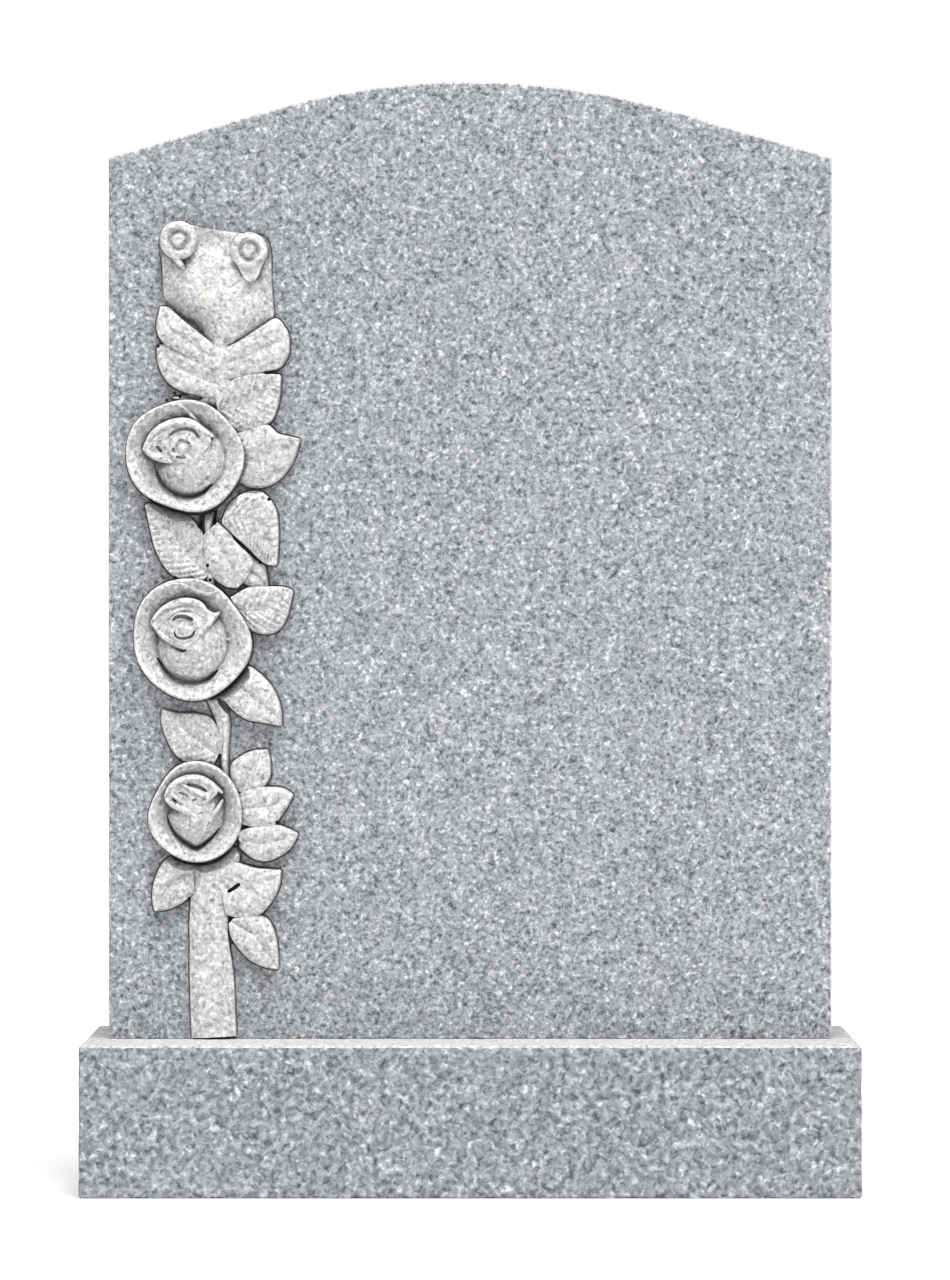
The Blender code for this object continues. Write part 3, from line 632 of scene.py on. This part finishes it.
leaf(
    "leaf_13", [(2.3, 30.5), (2.2, 33.2), (3.2, 34.3), (4.8, 35.1), (6.6, 35.3)],
    [(4.8, 29.6), (6.2, 30.6), (7.0, 32.0), (7.05, 33.8), (6.75, 35.2)], lift=(0.7, 0.8, 0.75),
    veins=0.0003, midrib=0.0002)
leaf(
    "leaf_14", [(3.0, 29.8), (5.0, 30.6), (6.8, 30.7), (8.6, 30.5), (9.8, 29.8)],
    [(3.2, 26.2), (5.5, 25.7), (7.4, 25.9), (8.3, 27.0), (9.2, 28.4), (9.85, 29.6)], lift=(0.85, 1.0, 0.95),
    midrib=0.0004)
leaf(
    "leaf_15", [(3.2, 25.3), (5.0, 25.8), (7.6, 26.1), (9.2, 25.6), (10.4, 25.0)],
    [(3.2, 23.4), (4.6, 22.1), (6.4, 21.6), (8.2, 22.2), (9.6, 23.3), (10.45, 24.8)],
    lift=(0.85, 0.95, 0.9), tilt=0.06, midrib=0.0004)
leaf(
    "leaf_16", [(-2.2, 17.8), (-3.6, 16.6), (-5.2, 15.8), (-7.0, 15.45)],
    [(-2.6, 22.8), (-5.4, 22.0), (-6.6, 20.6), (-7.3, 18.6), (-7.4, 16.8), (-7.15, 15.5)],
    lift=(0.7, 0.8, 0.75))
leaf(
    "leaf_17", [(0.5, 21.8), (2.8, 21.5), (5.0, 20.8), (6.9, 20.6), (8.3, 20.5)],
    [(1.6, 15.0), (3.5, 14.6), (5.8, 15.1), (7.2, 16.6), (8.1, 18.4), (8.4, 20.4)], lift=(0.8, 0.9, 0.85),
    midrib=0.0003)
leaf(
    "leaf_18", [(2.6, 14.6), (3.8, 14.8), (5.4, 15.0), (6.8, 14.4), (7.7, 12.4), (8.0, 10.2), (8.05, 8.4)],
    [(1.9, 13.8), (2.3, 12.2), (3.3, 10.7), (4.8, 9.3), (6.4, 8.6), (7.95, 8.3)], lift=(0.75, 0.85, 0.7))


# Gouges and drill holes
#
# Under the roses and between leaves the carver cut deep, so that the edges above throw a dark line.
# Drill holes stop the chisel where leaves meet.

cut(
    "under_high_rose",
    [(-8.4, 66.3), (-6.6, 65.3), (-4.6, 64.4), (-2.6, 64.1), (-0.6, 64.3), (1.2, 65.3), (3.2, 67.4)], 2.4,
    0.003, gouges, rise=0.013)
cut(
    "under_middle_rose", [(-1.6, 41.7), (0.3, 42.0), (1.8, 42.9), (3.2, 44.2), (4.2, 45.6)], 2.6, 0.002,
    gouges, rise=0.015)
cut(
    "under_low_rose", [(-6.2, 23.4), (-4.6, 22.3), (-2.0, 21.6), (0.0, 21.8), (1.8, 22.7), (3.2, 24.2)],
    3.6, 0.002, gouges, rise=0.015)
cut("beside_low_stem", [(0.6, 41.6), (1.7, 40.3), (2.8, 39.4), (3.9, 38.7)], 0.8, 0.001, gouges)
cut("under_leaf_15", [(3.0, 23.2), (4.2, 22.0), (5.6, 21.2), (7.2, 20.95)], 0.8, 0.002, gouges)
cut("under_leaf_06", [(2.4, 61.5), (3.6, 60.3), (4.8, 59.2), (5.9, 58.2)], 0.35, 0.001, gouges)
cut("under_leaf_05", [(2.8, 67.2), (4.4, 67.2), (6.2, 67.3), (7.6, 67.6)], 0.9, 0.004, gouges)
cut("under_leaf_01", [(-5.6, 79.7), (-4.2, 79.0), (-2.8, 78.6), (-1.2, 78.4)], 0.8, 0.005, gouges)
cut("under_leaf_03", [(6.2, 81.55), (7.2, 81.6), (8.3, 81.9)], 0.5, 0.000, gouges)
cut("slot_by_leaf_17", [(1.8, 17.8), (2.6, 18.3), (3.4, 18.9)], 0.5, 0.002, gouges)
cut("beside_middle_stem", [(-1.6, 62.4), (-1.5, 63.2), (-1.4, 64.6)], 0.8, -0.007, gouges, rise=0.012)
cut("behind_middle_stem", [(0.2, 62.8), (0.3, 64.2), (0.5, 65.6)], 0.6, -0.006, gouges, rise=0.012)
cut(
    "line_under_high_rose",
    [(-8.0, 66.1), (-6.5, 65.5), (-4.5, 64.8), (-2.4, 64.35), (-0.4, 64.6), (0.9, 65.3)], 0.75, -0.004,
    gouges, rise=0.006)
cut(
    "line_under_low_rose",
    [(-5.9, 22.9), (-4.4, 21.9), (-2.8, 21.4), (-0.8, 21.35), (0.8, 21.9), (2.2, 23.0)], 0.55, -0.002,
    gouges, rise=0.006)
cut(
    "line_under_middle_rose", [(-0.4, 41.6), (1.2, 42.5), (2.8, 43.9), (4.0, 45.4)], 0.5, -0.002, gouges,
    rise=0.006)
drill_holes = (
    (-6.7, 84.8), (-4.7, 79.1), (-4.0, 78.6), (-5.7, 78.2), (-0.6, 57.9), (-0.3, 56.1), (-4.6, 56.4),
    (5.8, 58.3), (6.9, 66.0), (-4.0, 34.0), (-2.9, 17.0), (7.9, 26.4), (2.4, 11.6), (4.2, 45.7),
)
for number, (a, b) in enumerate(drill_holes, 1):
    cut(f"drill_hole_{number:02d}", [(a - 0.2, b), (a, b), (a + 0.2, b)], 0.42, -0.003, gouges)


# Roses
#
# Three open roses look a little to the left. Each is a cup of outer petals, a domed heart in it, and
# inner petals that furl round an eye, with turned edges. All are cut from the same stone.

CUP_FLOOR_RELIEF = 0.0075
CUP_RIM_RELIEF = 0.023
CUP_RIM_ROUND = 0.0020
HEART_RELIEF = 0.0305


def cup(name, centre, radius, waves):
    """The ring of outer petals: a bowl whose wall climbs at an even slope from a narrow floor to a thin rim.

    waves shape the outline, each as how many go round, how deep they are, and where they start.
    """
    shares = np.concatenate([np.linspace(0.48, 0.93, 14), np.linspace(0.945, 1, 10)])

    def relief(across, up, share, turn):
        wall = np.clip((share - 0.53) / 0.43, 0, 1)
        uneven = 0.0007 * (np.sin(3 * turn + 1) + 0.6 * np.sin(7 * turn + 2)) * share
        from_rim = (1 - share) * UNIT * radius
        climb = (CUP_RIM_RELIEF - CUP_FLOOR_RELIEF) * wall
        return CUP_FLOOR_RELIEF + climb + uneven - worn_edge(from_rim, CUP_RIM_ROUND)

    def swell(turn):
        return 1 + sum(deep * np.sin(count * turn + start) for count, deep, start in waves)

    carved_round(name, centre, (radius, radius), shares, relief, 150, swell)


def heart(name, centre, radii, point, dents):
    """The inner petals' dome, the power 0.7 of 1 - share^2.2, whose outline swells to a blunt point.

    point is the turn of that blunt point and its size.
    """
    shares = np.sin(np.linspace(0.05, 1, 25) * math.pi / 2)

    def swell(turn):
        away = np.mod(turn - point[0] + math.pi, math.tau) - math.pi
        return 1 + point[1] * np.exp(-np.abs(away) / 0.35)

    def relief(across, up, share, turn):
        dome = CUP_FLOOR_RELIEF + (HEART_RELIEF - CUP_FLOOR_RELIEF) * (1 - share**2.2) ** 0.7
        tool_marks = 0.00035 * np.sin(9 * across + 4 * up + 2 * np.sin(3 * up)) * (1 - share**4)
        return dented(dome, across, up, dents) + tool_marks

    carved_round(name, centre, radii, shares, relief, 108, swell)


def furled_petals(name, upper, lower, heights):
    """The raised petals about the eye: a grid between two edges that meet at its left tip.

    heights run along it from that tip, and it falls away at both edges with the power 6.
    """
    s = np.linspace(0, 1, 41)
    upper, lower = along(upper, s), along(lower, s)
    share = np.linspace(0, 1, 25)
    outline = lower[:, :, None] * (1 - share) + upper[:, :, None] * share
    level = np.interp(s, np.linspace(0, 1, len(heights)), heights)[:, None]
    carved_strip(name, outline[:, 0], outline[:, 1], level - 0.0008 * (2 * share - 1) ** 6, roses_and_bud)


def petal_edge(name, route, width, heights):
    """The turned edge of a petal: a round ridge that thins to a point at both ends, with heights along it."""
    s = np.linspace(0, 1, 41)
    side = np.sin(np.linspace(-1, 1, 11) * math.pi / 2)
    half_width = 0.08 + width / 2 * np.sin(math.pi * s) ** 0.6
    across, up = ribbon(along(route, s), half_width, side)
    crest = np.interp(s, np.linspace(0, 1, len(heights)), heights)[:, None]
    carved_strip(name, across, up, crest - 0.10 * crest.max() * side**2, roses_and_bud)


def furled_eye(name, centre, radius, height, groove=0.0025, tail=(0, 0)):
    """The tight centre of a rose, or of a petal's roll: a button, a groove and a ring about it.

    profile is how deep it lies at shares of its radius, in shares of groove. The ring may be drawn out
    to a tail, given as its turn and its size.
    """
    profile = {
        0: 0.1, 0.1: 0, 0.28: 0.1, 0.38: 0.8, 0.44: 1.0, 0.52: 0.9, 0.60: 0.25, 0.72: 0.0, 0.86: 0.2, 1: 0.9,
    }
    shares = np.linspace(0.06, 1, 23)

    def swell(turn):
        away = np.mod(turn - tail[0] + math.pi, math.tau) - math.pi
        return 1 + tail[1] * np.exp(-((away / 0.42) ** 2))

    def relief(across, up, share, turn):
        turned = np.minimum(share * swell(turn) ** 0.8, 1)
        return height - groove * np.interp(turned, list(profile), list(profile.values()))

    carved_round(name, centre, (radius, radius), shares, relief, 50, swell)


cup(
    "high_rose_cup", (-3.37, 71.33), 6.99,
    ((2, 0.040, 2.26), (3, 0.013, 4.45), (4, 0.005, 0.94), (5, 0.016, 1.38)))
heart("high_rose_heart", (-2.55, 71.0), (4.45, 4.45), (4.5, 0.02), ((-7.0, 70.6, 1.8, 0.8, 0.008),))
furled_petals(
    "high_rose_petals",
    [(-8.4, 72.2), (-7.1, 74.0), (-5.5, 75.0), (-3.8, 75.4), (-2.4, 75.2), (-1.3, 74.5), (-0.2, 73.9)],
    [(-8.4, 72.1), (-7.2, 71.4), (-5.7, 70.8), (-4.4, 70.4), (-3.0, 70.3), (-1.5, 71.0), (-0.1, 72.9)],
    (0.0255, 0.0285, 0.0295, 0.0300, 0.0300))
furled_eye("high_rose_eye", (-3.55, 72.1), 1.75, 0.0322)
petal_edge(
    "high_rose_upper_lip",
    [(-8.4, 72.2), (-7.1, 74.0), (-5.5, 75.0), (-3.8, 75.4), (-2.4, 75.2), (-1.3, 74.5), (0.2, 73.6)], 0.95,
    (0.0275, 0.0310, 0.0325, 0.0325, 0.0315))
petal_edge(
    "high_rose_lower_lip", [(-8.5, 72.2), (-7.2, 71.4), (-5.9, 70.9), (-4.8, 70.5)], 0.75,
    (0.0275, 0.0300, 0.0310, 0.0305))
petal_edge(
    "high_rose_left_fold", [(-5.9, 74.0), (-6.9, 73.4), (-6.9, 72.6), (-6.2, 71.6)], 0.5,
    (0.0305, 0.0300, 0.0295, 0.0290))
petal_edge(
    "high_rose_lap", [(-5.0, 77.9), (-3.8, 77.4), (-2.6, 76.3), (-1.8, 75.4), (-0.8, 74.5)], 0.42,
    (0.0245, 0.0225, 0.0195, 0.0175, 0.0175))
petal_edge(
    "high_rose_corner_fold", [(-10.3, 72.9), (-9.9, 72.2), (-9.3, 71.4)], 0.3, (0.0235, 0.0210, 0.0170))

cup(
    "middle_rose_cup", (-2.65, 48.82), 7.25,
    ((2, 0.040, 3.65), (3, 0.020, 1.78), (4, 0.012, 1.91), (5, 0.014, 2.16)))
heart("middle_rose_heart", (-2.5, 48.45), (4.5, 4.8), (4.4, 0.02), ((-6.2, 48.6, 1.4, 0.8, 0.004),))
furled_petals(
    "middle_rose_petals",
    [(-7.5, 50.95), (-5.9, 52.4), (-3.8, 53.3), (-2.0, 53.3), (-0.95, 52.7), (0.1, 52.1), (0.9, 52.1)],
    [(-7.5, 50.85), (-6.9, 50.2), (-6.0, 49.3), (-4.6, 48.5), (-3.4, 48.0), (-2.0, 48.8), (-0.9, 50.1),
     (0.9, 51.9)],
    (0.0260, 0.0285, 0.0295, 0.0300, 0.0285))
furled_eye("middle_rose_eye", (-3.4, 50.2), 2.0, 0.0325, groove=0.0022)
petal_edge(
    "middle_rose_upper_lip",
    [(-7.5, 50.9), (-5.9, 52.5), (-3.8, 53.4), (-2.0, 53.3), (-1.0, 52.6), (-0.7, 51.6)], 0.75,
    (0.0275, 0.0310, 0.0325, 0.0325, 0.0310))
petal_edge(
    "middle_rose_lower_lip",
    [(-7.5, 50.9), (-6.0, 49.3), (-4.6, 48.5), (-3.4, 48.0), (-2.3, 48.6), (-0.95, 50.1), (0.9, 52.2)],
    0.75, (0.0275, 0.0305, 0.0320, 0.0320, 0.0300))
petal_edge(
    "middle_rose_inner_edge", [(-5.6, 51.2), (-4.5, 52.2), (-3.2, 52.55), (-1.9, 52.2), (-1.2, 51.4)], 0.45,
    (0.0300, 0.0315, 0.0315, 0.0300))
petal_edge(
    "middle_rose_lap", [(-5.2, 55.75), (-3.6, 55.5), (-2.0, 54.8), (-0.6, 54.4), (0.6, 54.7)], 0.5,
    (0.0245, 0.0235, 0.0205, 0.0195, 0.0235))
petal_edge(
    "middle_rose_side_lap", [(4.4, 50.4), (3.2, 49.4), (2.4, 48.9), (1.6, 48.8)], 0.45,
    (0.0240, 0.0190, 0.0155, 0.0155))

cup(
    "low_rose_cup", (-1.99, 27.57), 5.89,
    ((2, 0.041, 4.90), (3, 0.030, 3.56), (4, 0.014, 0.72), (5, 0.008, 3.97)))
heart("low_rose_heart", (-2.05, 27.8), (3.6, 4.1), (4.72, 0.12), ((-5.2, 27.9, 1.6, 0.6, 0.007),))
furled_petals(
    "low_rose_petals", [(-5.8, 29.5), (-4.9, 30.8), (-3.3, 31.6), (-1.6, 31.7), (-0.2, 31.0), (0.7, 30.3)],
    [(-5.8, 29.4), (-4.9, 28.7), (-3.6, 28.1), (-2.2, 27.9), (-0.8, 28.6), (0.6, 29.9)],
    (0.0260, 0.0285, 0.0295, 0.0290))
petal_edge(
    "low_rose_upper_lip",
    [(-5.8, 29.5), (-4.9, 30.9), (-3.3, 31.7), (-1.6, 31.75), (-0.2, 31.1), (1.3, 30.0)], 0.75,
    (0.0275, 0.0315, 0.0325, 0.0315, 0.0285))
petal_edge(
    "low_rose_lower_lip", [(-5.8, 29.4), (-4.9, 28.7), (-3.9, 28.2), (-3.0, 27.7), (-2.2, 26.4)], 0.7,
    (0.0275, 0.0305, 0.0320, 0.0310))
petal_edge(
    "low_rose_eye_fold",
    [(-3.9, 31.2), (-2.6, 30.5), (-1.4, 29.9), (-0.5, 29.4), (-0.9, 28.9), (-1.8, 28.6)], 0.55,
    (0.0300, 0.0320, 0.0325, 0.0325, 0.0310))
petal_edge(
    "low_rose_slanting_fold", [(-5.1, 29.9), (-4.3, 29.4), (-3.6, 28.8)], 0.4, (0.0300, 0.0315, 0.0310))
petal_edge(
    "low_rose_front_edge", [(1.3, 29.2), (0.3, 27.4), (-0.8, 25.7), (-1.8, 24.0)], 0.5,
    (0.0270, 0.0300, 0.0275, 0.0190))


# Rosebud
#
# The closed bud at the top: a belly of wrapped petals with a soft crease, and at each side of its mouth
# a petal rolled outwards, with a fold or a tail below the roll.

BUD_RELIEF = 0.026


def bud_belly():
    """A grid between the bud's left and right outlines.

    It leans out evenly from the foot, sinks a little under the mouth, is round across, turns away at the
    lower left, and is dented.
    """
    left = [
        (0.4, 84.2), (-1.2, 85.8), (-3.0, 87.5), (-4.8, 89.1), (-5.9, 90.6), (-6.1, 92.6), (-6.2, 95.0),
        (-6.5, 97.2), (-6.2, 98.7), (-5.2, 99.6), (-3.6, 99.9),
    ]
    right = [
        (0.9, 84.2), (3.0, 85.1), (5.4, 86.5), (7.3, 88.3), (7.35, 90.0), (7.15, 93.0), (7.1, 96.0),
        (6.7, 97.7), (5.6, 98.5), (3.4, 98.6), (1.8, 98.4),
    ]
    s = np.linspace(0, 1, 61)
    left, right = along(left, s), along(right, s)
    share = 0.5 - 0.5 * np.cos(math.pi * np.linspace(0, 1, 53))
    outline = left[:, :, None] * (1 - share) + right[:, :, None] * share
    rise = s[:, None]
    belly = 0.44 + 0.56 * np.clip(rise / 0.85, 0, 1) - 0.12 * np.exp(-(((rise - 0.84) / 0.10) ** 2))
    rounding = np.sqrt(1 - 0.93 * (2 * share - 1) ** 2)
    crease = 0.05 * np.exp(-(((share - 0.52) / 0.05) ** 2)) * np.clip(1 - 1.1 * rise, 0, 1)
    dents = (
        (-4.2, 98.0, 1.9, 1.9, 0.0045), (4.4, 96.6, 2.3, 2.3, 0.0050), (-3.1, 95.5, 1.0, 1.3, 0.0060),
        (2.8, 94.6, 1.2, 0.8, 0.0040), (5.9, 93.2, 1.0, 1.3, 0.0040), (4.5, 91.8, 0.6, 1.4, 0.0020),
        (-4.4, 90.4, 1.7, 1.5, 0.0060), (-2.2, 87.6, 1.9, 1.4, 0.0055), (0.6, 97.2, 2.0, 1.6, 0.0035),
    )
    across, up = outline[:, 0], outline[:, 1]
    tool_marks = 0.0004 * np.sin(8 * across + 3 * up + 2 * np.sin(2.5 * up)) * rounding
    turned_away = np.clip(0.8 - 1.8 * share, 0, 1) * np.exp(-(((rise - 0.22) / 0.20) ** 2))
    relief = BUD_RELIEF * (belly * rounding - crease - 0.35 * turned_away) + tool_marks
    carved_strip("bud_belly", across, up, dented(relief, across, up, dents), roses_and_bud)


bud_belly()
furled_eye("bud_left_roll", (-4.1, 97.75), 2.35, 0.0265, groove=0.0050)
furled_eye("bud_right_roll", (4.5, 96.45), 2.25, 0.0272, groove=0.0050, tail=(4.78, 0.70))
petal_edge(
    "bud_left_fold", [(-5.2, 97.0), (-4.7, 96.0), (-4.2, 95.2), (-3.4, 94.2)], 0.7,
    (0.0250, 0.0262, 0.0262, 0.0240))


# Fine cuts
#
# Short strokes of a narrow chisel part the eye of each rose and the petals about it, and a deeper
# crescent is cut under each rose's heart.

cut(
    "high_heart_crescent",
    [(-7.3, 70.6), (-6.75, 69.0), (-6.0, 67.7), (-4.6, 66.75), (-2.95, 66.4), (-1.3, 66.8), (0.0, 67.9)],
    1.35, 0.006, fine_cuts, rise=0.011, fullness=2)
cut(
    "middle_heart_crescent",
    [(-6.8, 46.6), (-5.7, 44.9), (-4.3, 43.9), (-2.3, 43.6), (-0.6, 44.0), (0.7, 45.1)], 1.6, 0.006,
    fine_cuts, rise=0.011, fullness=2)
cut(
    "low_heart_crescent",
    [(-5.6, 27.3), (-5.2, 25.9), (-4.2, 24.5), (-2.7, 23.5), (-1.7, 23.3), (-0.2, 24.4), (0.9, 25.7)], 1.0,
    0.006, fine_cuts, rise=0.010, fullness=2)
cut("high_eye_top", [(-4.0, 73.2), (-3.3, 73.1), (-2.6, 72.75)], 0.36, 0.0285, fine_cuts)
cut("high_eye_side", [(-4.75, 72.3), (-4.7, 72.0), (-4.6, 71.7)], 0.34, 0.0285, fine_cuts)
cut("high_eye_foot", [(-4.4, 71.2), (-3.7, 71.05), (-3.1, 71.1)], 0.36, 0.0280, fine_cuts)
cut("high_lip_slit", [(-6.85, 72.5), (-6.5, 72.2), (-6.1, 71.75)], 0.42, 0.0240, fine_cuts)
cut(
    "high_arc", [(-5.25, 73.7), (-4.3, 74.4), (-3.2, 74.6), (-2.2, 74.3), (-1.6, 73.5)], 0.48, 0.0255,
    fine_cuts)
cut("middle_eye_top", [(-4.8, 51.1), (-4.3, 51.55), (-3.3, 51.6), (-2.2, 51.15)], 0.50, 0.0265, fine_cuts)
cut(
    "middle_eye_foot", [(-4.65, 49.8), (-4.3, 49.15), (-3.5, 48.95), (-2.5, 49.2), (-2.0, 50.0)], 0.36,
    0.0275, fine_cuts)
cut("middle_dash", [(-3.8, 52.25), (-3.2, 52.3), (-2.6, 52.25)], 0.28, 0.0290, fine_cuts)
cut("middle_high_dash", [(-3.6, 52.9), (-2.8, 52.95), (-1.8, 52.7)], 0.24, 0.0300, fine_cuts)
cut("middle_lip_foot", [(-5.6, 48.4), (-4.4, 47.7), (-3.5, 47.4), (-3.1, 47.6)], 0.40, 0.0230, fine_cuts)
cut("low_left_slit", [(-4.85, 29.4), (-4.6, 29.15), (-4.3, 28.85)], 0.40, 0.0235, fine_cuts)
cut("low_eye_top", [(-4.1, 30.1), (-3.5, 29.9), (-2.9, 29.6)], 0.40, 0.0260, fine_cuts)
cut("low_arc", [(-3.1, 31.1), (-2.0, 30.9), (-1.2, 30.6), (-0.6, 30.2)], 0.50, 0.0245, fine_cuts)
cut("low_eye_pip", [(-2.4, 29.1), (-2.1, 29.2), (-1.8, 29.3)], 0.34, 0.0270, fine_cuts)


# Tablet and carving as one stone
#
# The carving and the slab are one piece of granite. The slab's honed face is smooth and cool grey, and
# the fine-axed carving is paler, because its bruised crystals scatter the light.

HOLLOW_CELL = 0.0012
HOLLOW_DEPTH = 0.006
WIDE_HOLLOW_DEPTH = 0.040


def blurred(field, cells):
    """A field with each point averaged over its neighbours by a bell curve `cells` wide."""
    reach = np.arange(-3 * cells, 3 * cells + 1)
    bell = np.exp(-0.5 * (reach / cells) ** 2)
    bell /= bell.sum()
    for axis in (0, 1):
        field = np.apply_along_axis(np.convolve, axis, field, bell, "same")
    return field


# The axed granite turns this hollowness into painted shade in the carving's corners and a painted highlight
# on its crests.
def hollowness(points):
    """How deep each point lies in the carving's corners, from -1 on a sharp crest to 1 in a deep corner.

    The relief is drawn as a height map, and a point's hollowness is how far it lies under the map's
    average a few millimetres around it, as a share of HOLLOW_DEPTH. A wide hollow, one that lies under
    the average a centimetre around it too, adds its share of WIDE_HOLLOW_DEPTH.
    """
    low = points.min(axis=0)
    column, row = ((points[:, [0, 2]] - low[[0, 2]]) / HOLLOW_CELL).round().astype(int).T
    relief = FACE_Y - points[:, 1]
    heights = np.zeros((row.max() + 1, column.max() + 1))
    np.maximum.at(heights, (row, column), relief)
    shifted = [np.roll(heights, move, axis=axis) for axis in (0, 1) for move in (-1, 1)]
    filled = np.where(heights > 0, heights, np.max(shifted, axis=0))
    around = 0.5 * blurred(filled, 1) + 0.5 * blurred(filled, 3)
    wide = np.clip((blurred(filled, 8)[row, column] - relief) / WIDE_HOLLOW_DEPTH, 0, 1)
    return np.clip((around[row, column] - relief) / HOLLOW_DEPTH + wide, -1, 1)


stages = (
    (quirks, "DIFFERENCE"), (leaves_and_stem, "UNION"), (gouges, "DIFFERENCE"),
    (roses_and_bud, "UNION"), (fine_cuts, "DIFFERENCE"),
)
for group, operation in stages:
    stage = slab.modifiers.new(group.name, "BOOLEAN")
    stage.operation = operation
    stage.solver = "MANIFOLD"
    stage.operand_type = "COLLECTION"
    stage.collection = group
tablet_mesh = bpy.data.meshes.new_from_object(slab.evaluated_get(bpy.context.evaluated_depsgraph_get()))
tablet_mesh.name = "tablet_stone"
for group, _ in stages:
    for piece in list(group.objects):
        bpy.data.objects.remove(piece)
    bpy.data.collections.remove(group)
bpy.data.objects.remove(slab)

honed_granite = granite(
    "Honed grey granite",  # smooth enough for a soft sheen, every crystal clear
    crystal=2.9,
    shades=("3a3d40", "686a6e", "86888c", "989a9e", "b0b1b4", "dddedf"),
    mica=0.085,
    roughness=0.42,
    relief=0.10,
)
corners = np.zeros(3 * len(tablet_mesh.vertices))
tablet_mesh.vertices.foreach_get("co", corners)
corners = corners.reshape(-1, 3)
middles = np.zeros(3 * len(tablet_mesh.polygons))
tablet_mesh.polygons.foreach_get("center", middles)
middles = middles.reshape(-1, 3)
# The carving stands over the honed face. The quirks lie 0.1 to 3.9 mm under it, in from the slab's left
# edge and its foot, and so do the arrises at the right and the top, which are as pale
height = FACE_Y - middles[:, 1]
proud = height > 0.0002
under_the_face = np.abs(height + 0.002) < 0.0019
in_a_quirk = under_the_face & (middles[:, 0] > 0.01 - TABLET_WIDTH / 2) & (middles[:, 2] > 0.1300)
tablet_mesh.materials.clear()
tablet_mesh.materials.append(honed_granite)
tablet_mesh.materials.append(axed_granite_and_painted_light)
tablet_mesh.polygons.foreach_set("material_index", (proud | in_a_quirk).astype(np.int32))
tablet_mesh.shade_smooth()
tablet_mesh.set_sharp_from_angle(angle=math.radians(35))
# The attribute "hollow" carries the painted shade in the carving's corners and the painted highlight on its
# crests.
hollow = tablet_mesh.attributes.new("hollow", "FLOAT", "POINT")
hollow.data.foreach_set("value", hollowness(corners).astype(np.float32))
tablet_stone = bpy.data.objects.new("tablet_stone", tablet_mesh)
bpy.context.scene.collection.objects.link(tablet_stone)
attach(tablet_stone, "root")
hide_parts("tablet")


# Floor
#
# A wide pale floor that runs out to the horizon, for the memorial to stand on.

floor_mesh = bpy.data.meshes.new("floor")
floor_mesh.from_pydata([(-60, -60, 0), (60, -60, 0), (60, 60, 0), (-60, 60, 0)], [], [(0, 1, 2, 3)])
floor = bpy.data.objects.new("floor", floor_mesh)
paint = bpy.data.materials.new("Matt pale grey paint")
paint.use_nodes = True
floor_shader = paint.node_tree.nodes["Principled BSDF"]
floor_shader.inputs["Base Color"].default_value = colour("f0f0f0")
floor_shader.inputs["Roughness"].default_value = 0.9
floor_shader.inputs["Specular IOR Level"].default_value = 0.1
floor_mesh.materials.append(paint)
bpy.context.scene.collection.objects.link(floor)


# Light
#
# A white room, and one very wide soft light high in front of the tablet, as under an overcast sky.
# The room is seen as white, and lights the stone less than that.

LIT_BY_ROOM = 0.36
SEEN_ROOM = 1.02

white_room = bpy.data.worlds.new("White room")
white_room.use_nodes = True
room_light = white_room.node_tree.nodes["Background"]
room_light.inputs["Color"].default_value = (1.0, 1.0, 1.0, 1)
seen = add_node(white_room.node_tree, "ShaderNodeLightPath", {})
strength = add_node(
    white_room.node_tree, "ShaderNodeMapRange",
    {"Value": seen.outputs["Is Camera Ray"], "To Min": LIT_BY_ROOM, "To Max": SEEN_ROOM})
white_room.node_tree.links.new(strength.outputs[0], room_light.inputs["Strength"])
bpy.context.scene.world = white_room

overhead = bpy.data.lights.new("Overhead", "SUN")
overhead.energy = 4.55
overhead.angle = math.radians(50)
overhead_light = bpy.data.objects.new("Overhead", overhead)
overhead_light.rotation_euler = (math.radians(30), 0, math.radians(8))
bpy.context.scene.collection.objects.link(overhead_light)

bpy.context.scene.view_settings.view_transform = "Standard"


# Camera
#
# Square to the face and level, at half the height of the frame, from far enough for a flat view.

CAMERA_DISTANCE = 6.0
FRAME_HEIGHT = 1.080
FRAME_MIDDLE = (0.004, 0.4634)
lens = bpy.data.cameras.new("Camera")
lens.sensor_width = 36
lens.lens = 36 * CAMERA_DISTANCE / FRAME_HEIGHT
camera = bpy.data.objects.new("Camera", lens)
camera.location = (FRAME_MIDDLE[0], FACE_Y - CAMERA_DISTANCE, FRAME_MIDDLE[1])
camera.rotation_euler = (math.pi / 2, 0, 0)
bpy.context.scene.collection.objects.link(camera)
bpy.context.scene.camera = camera
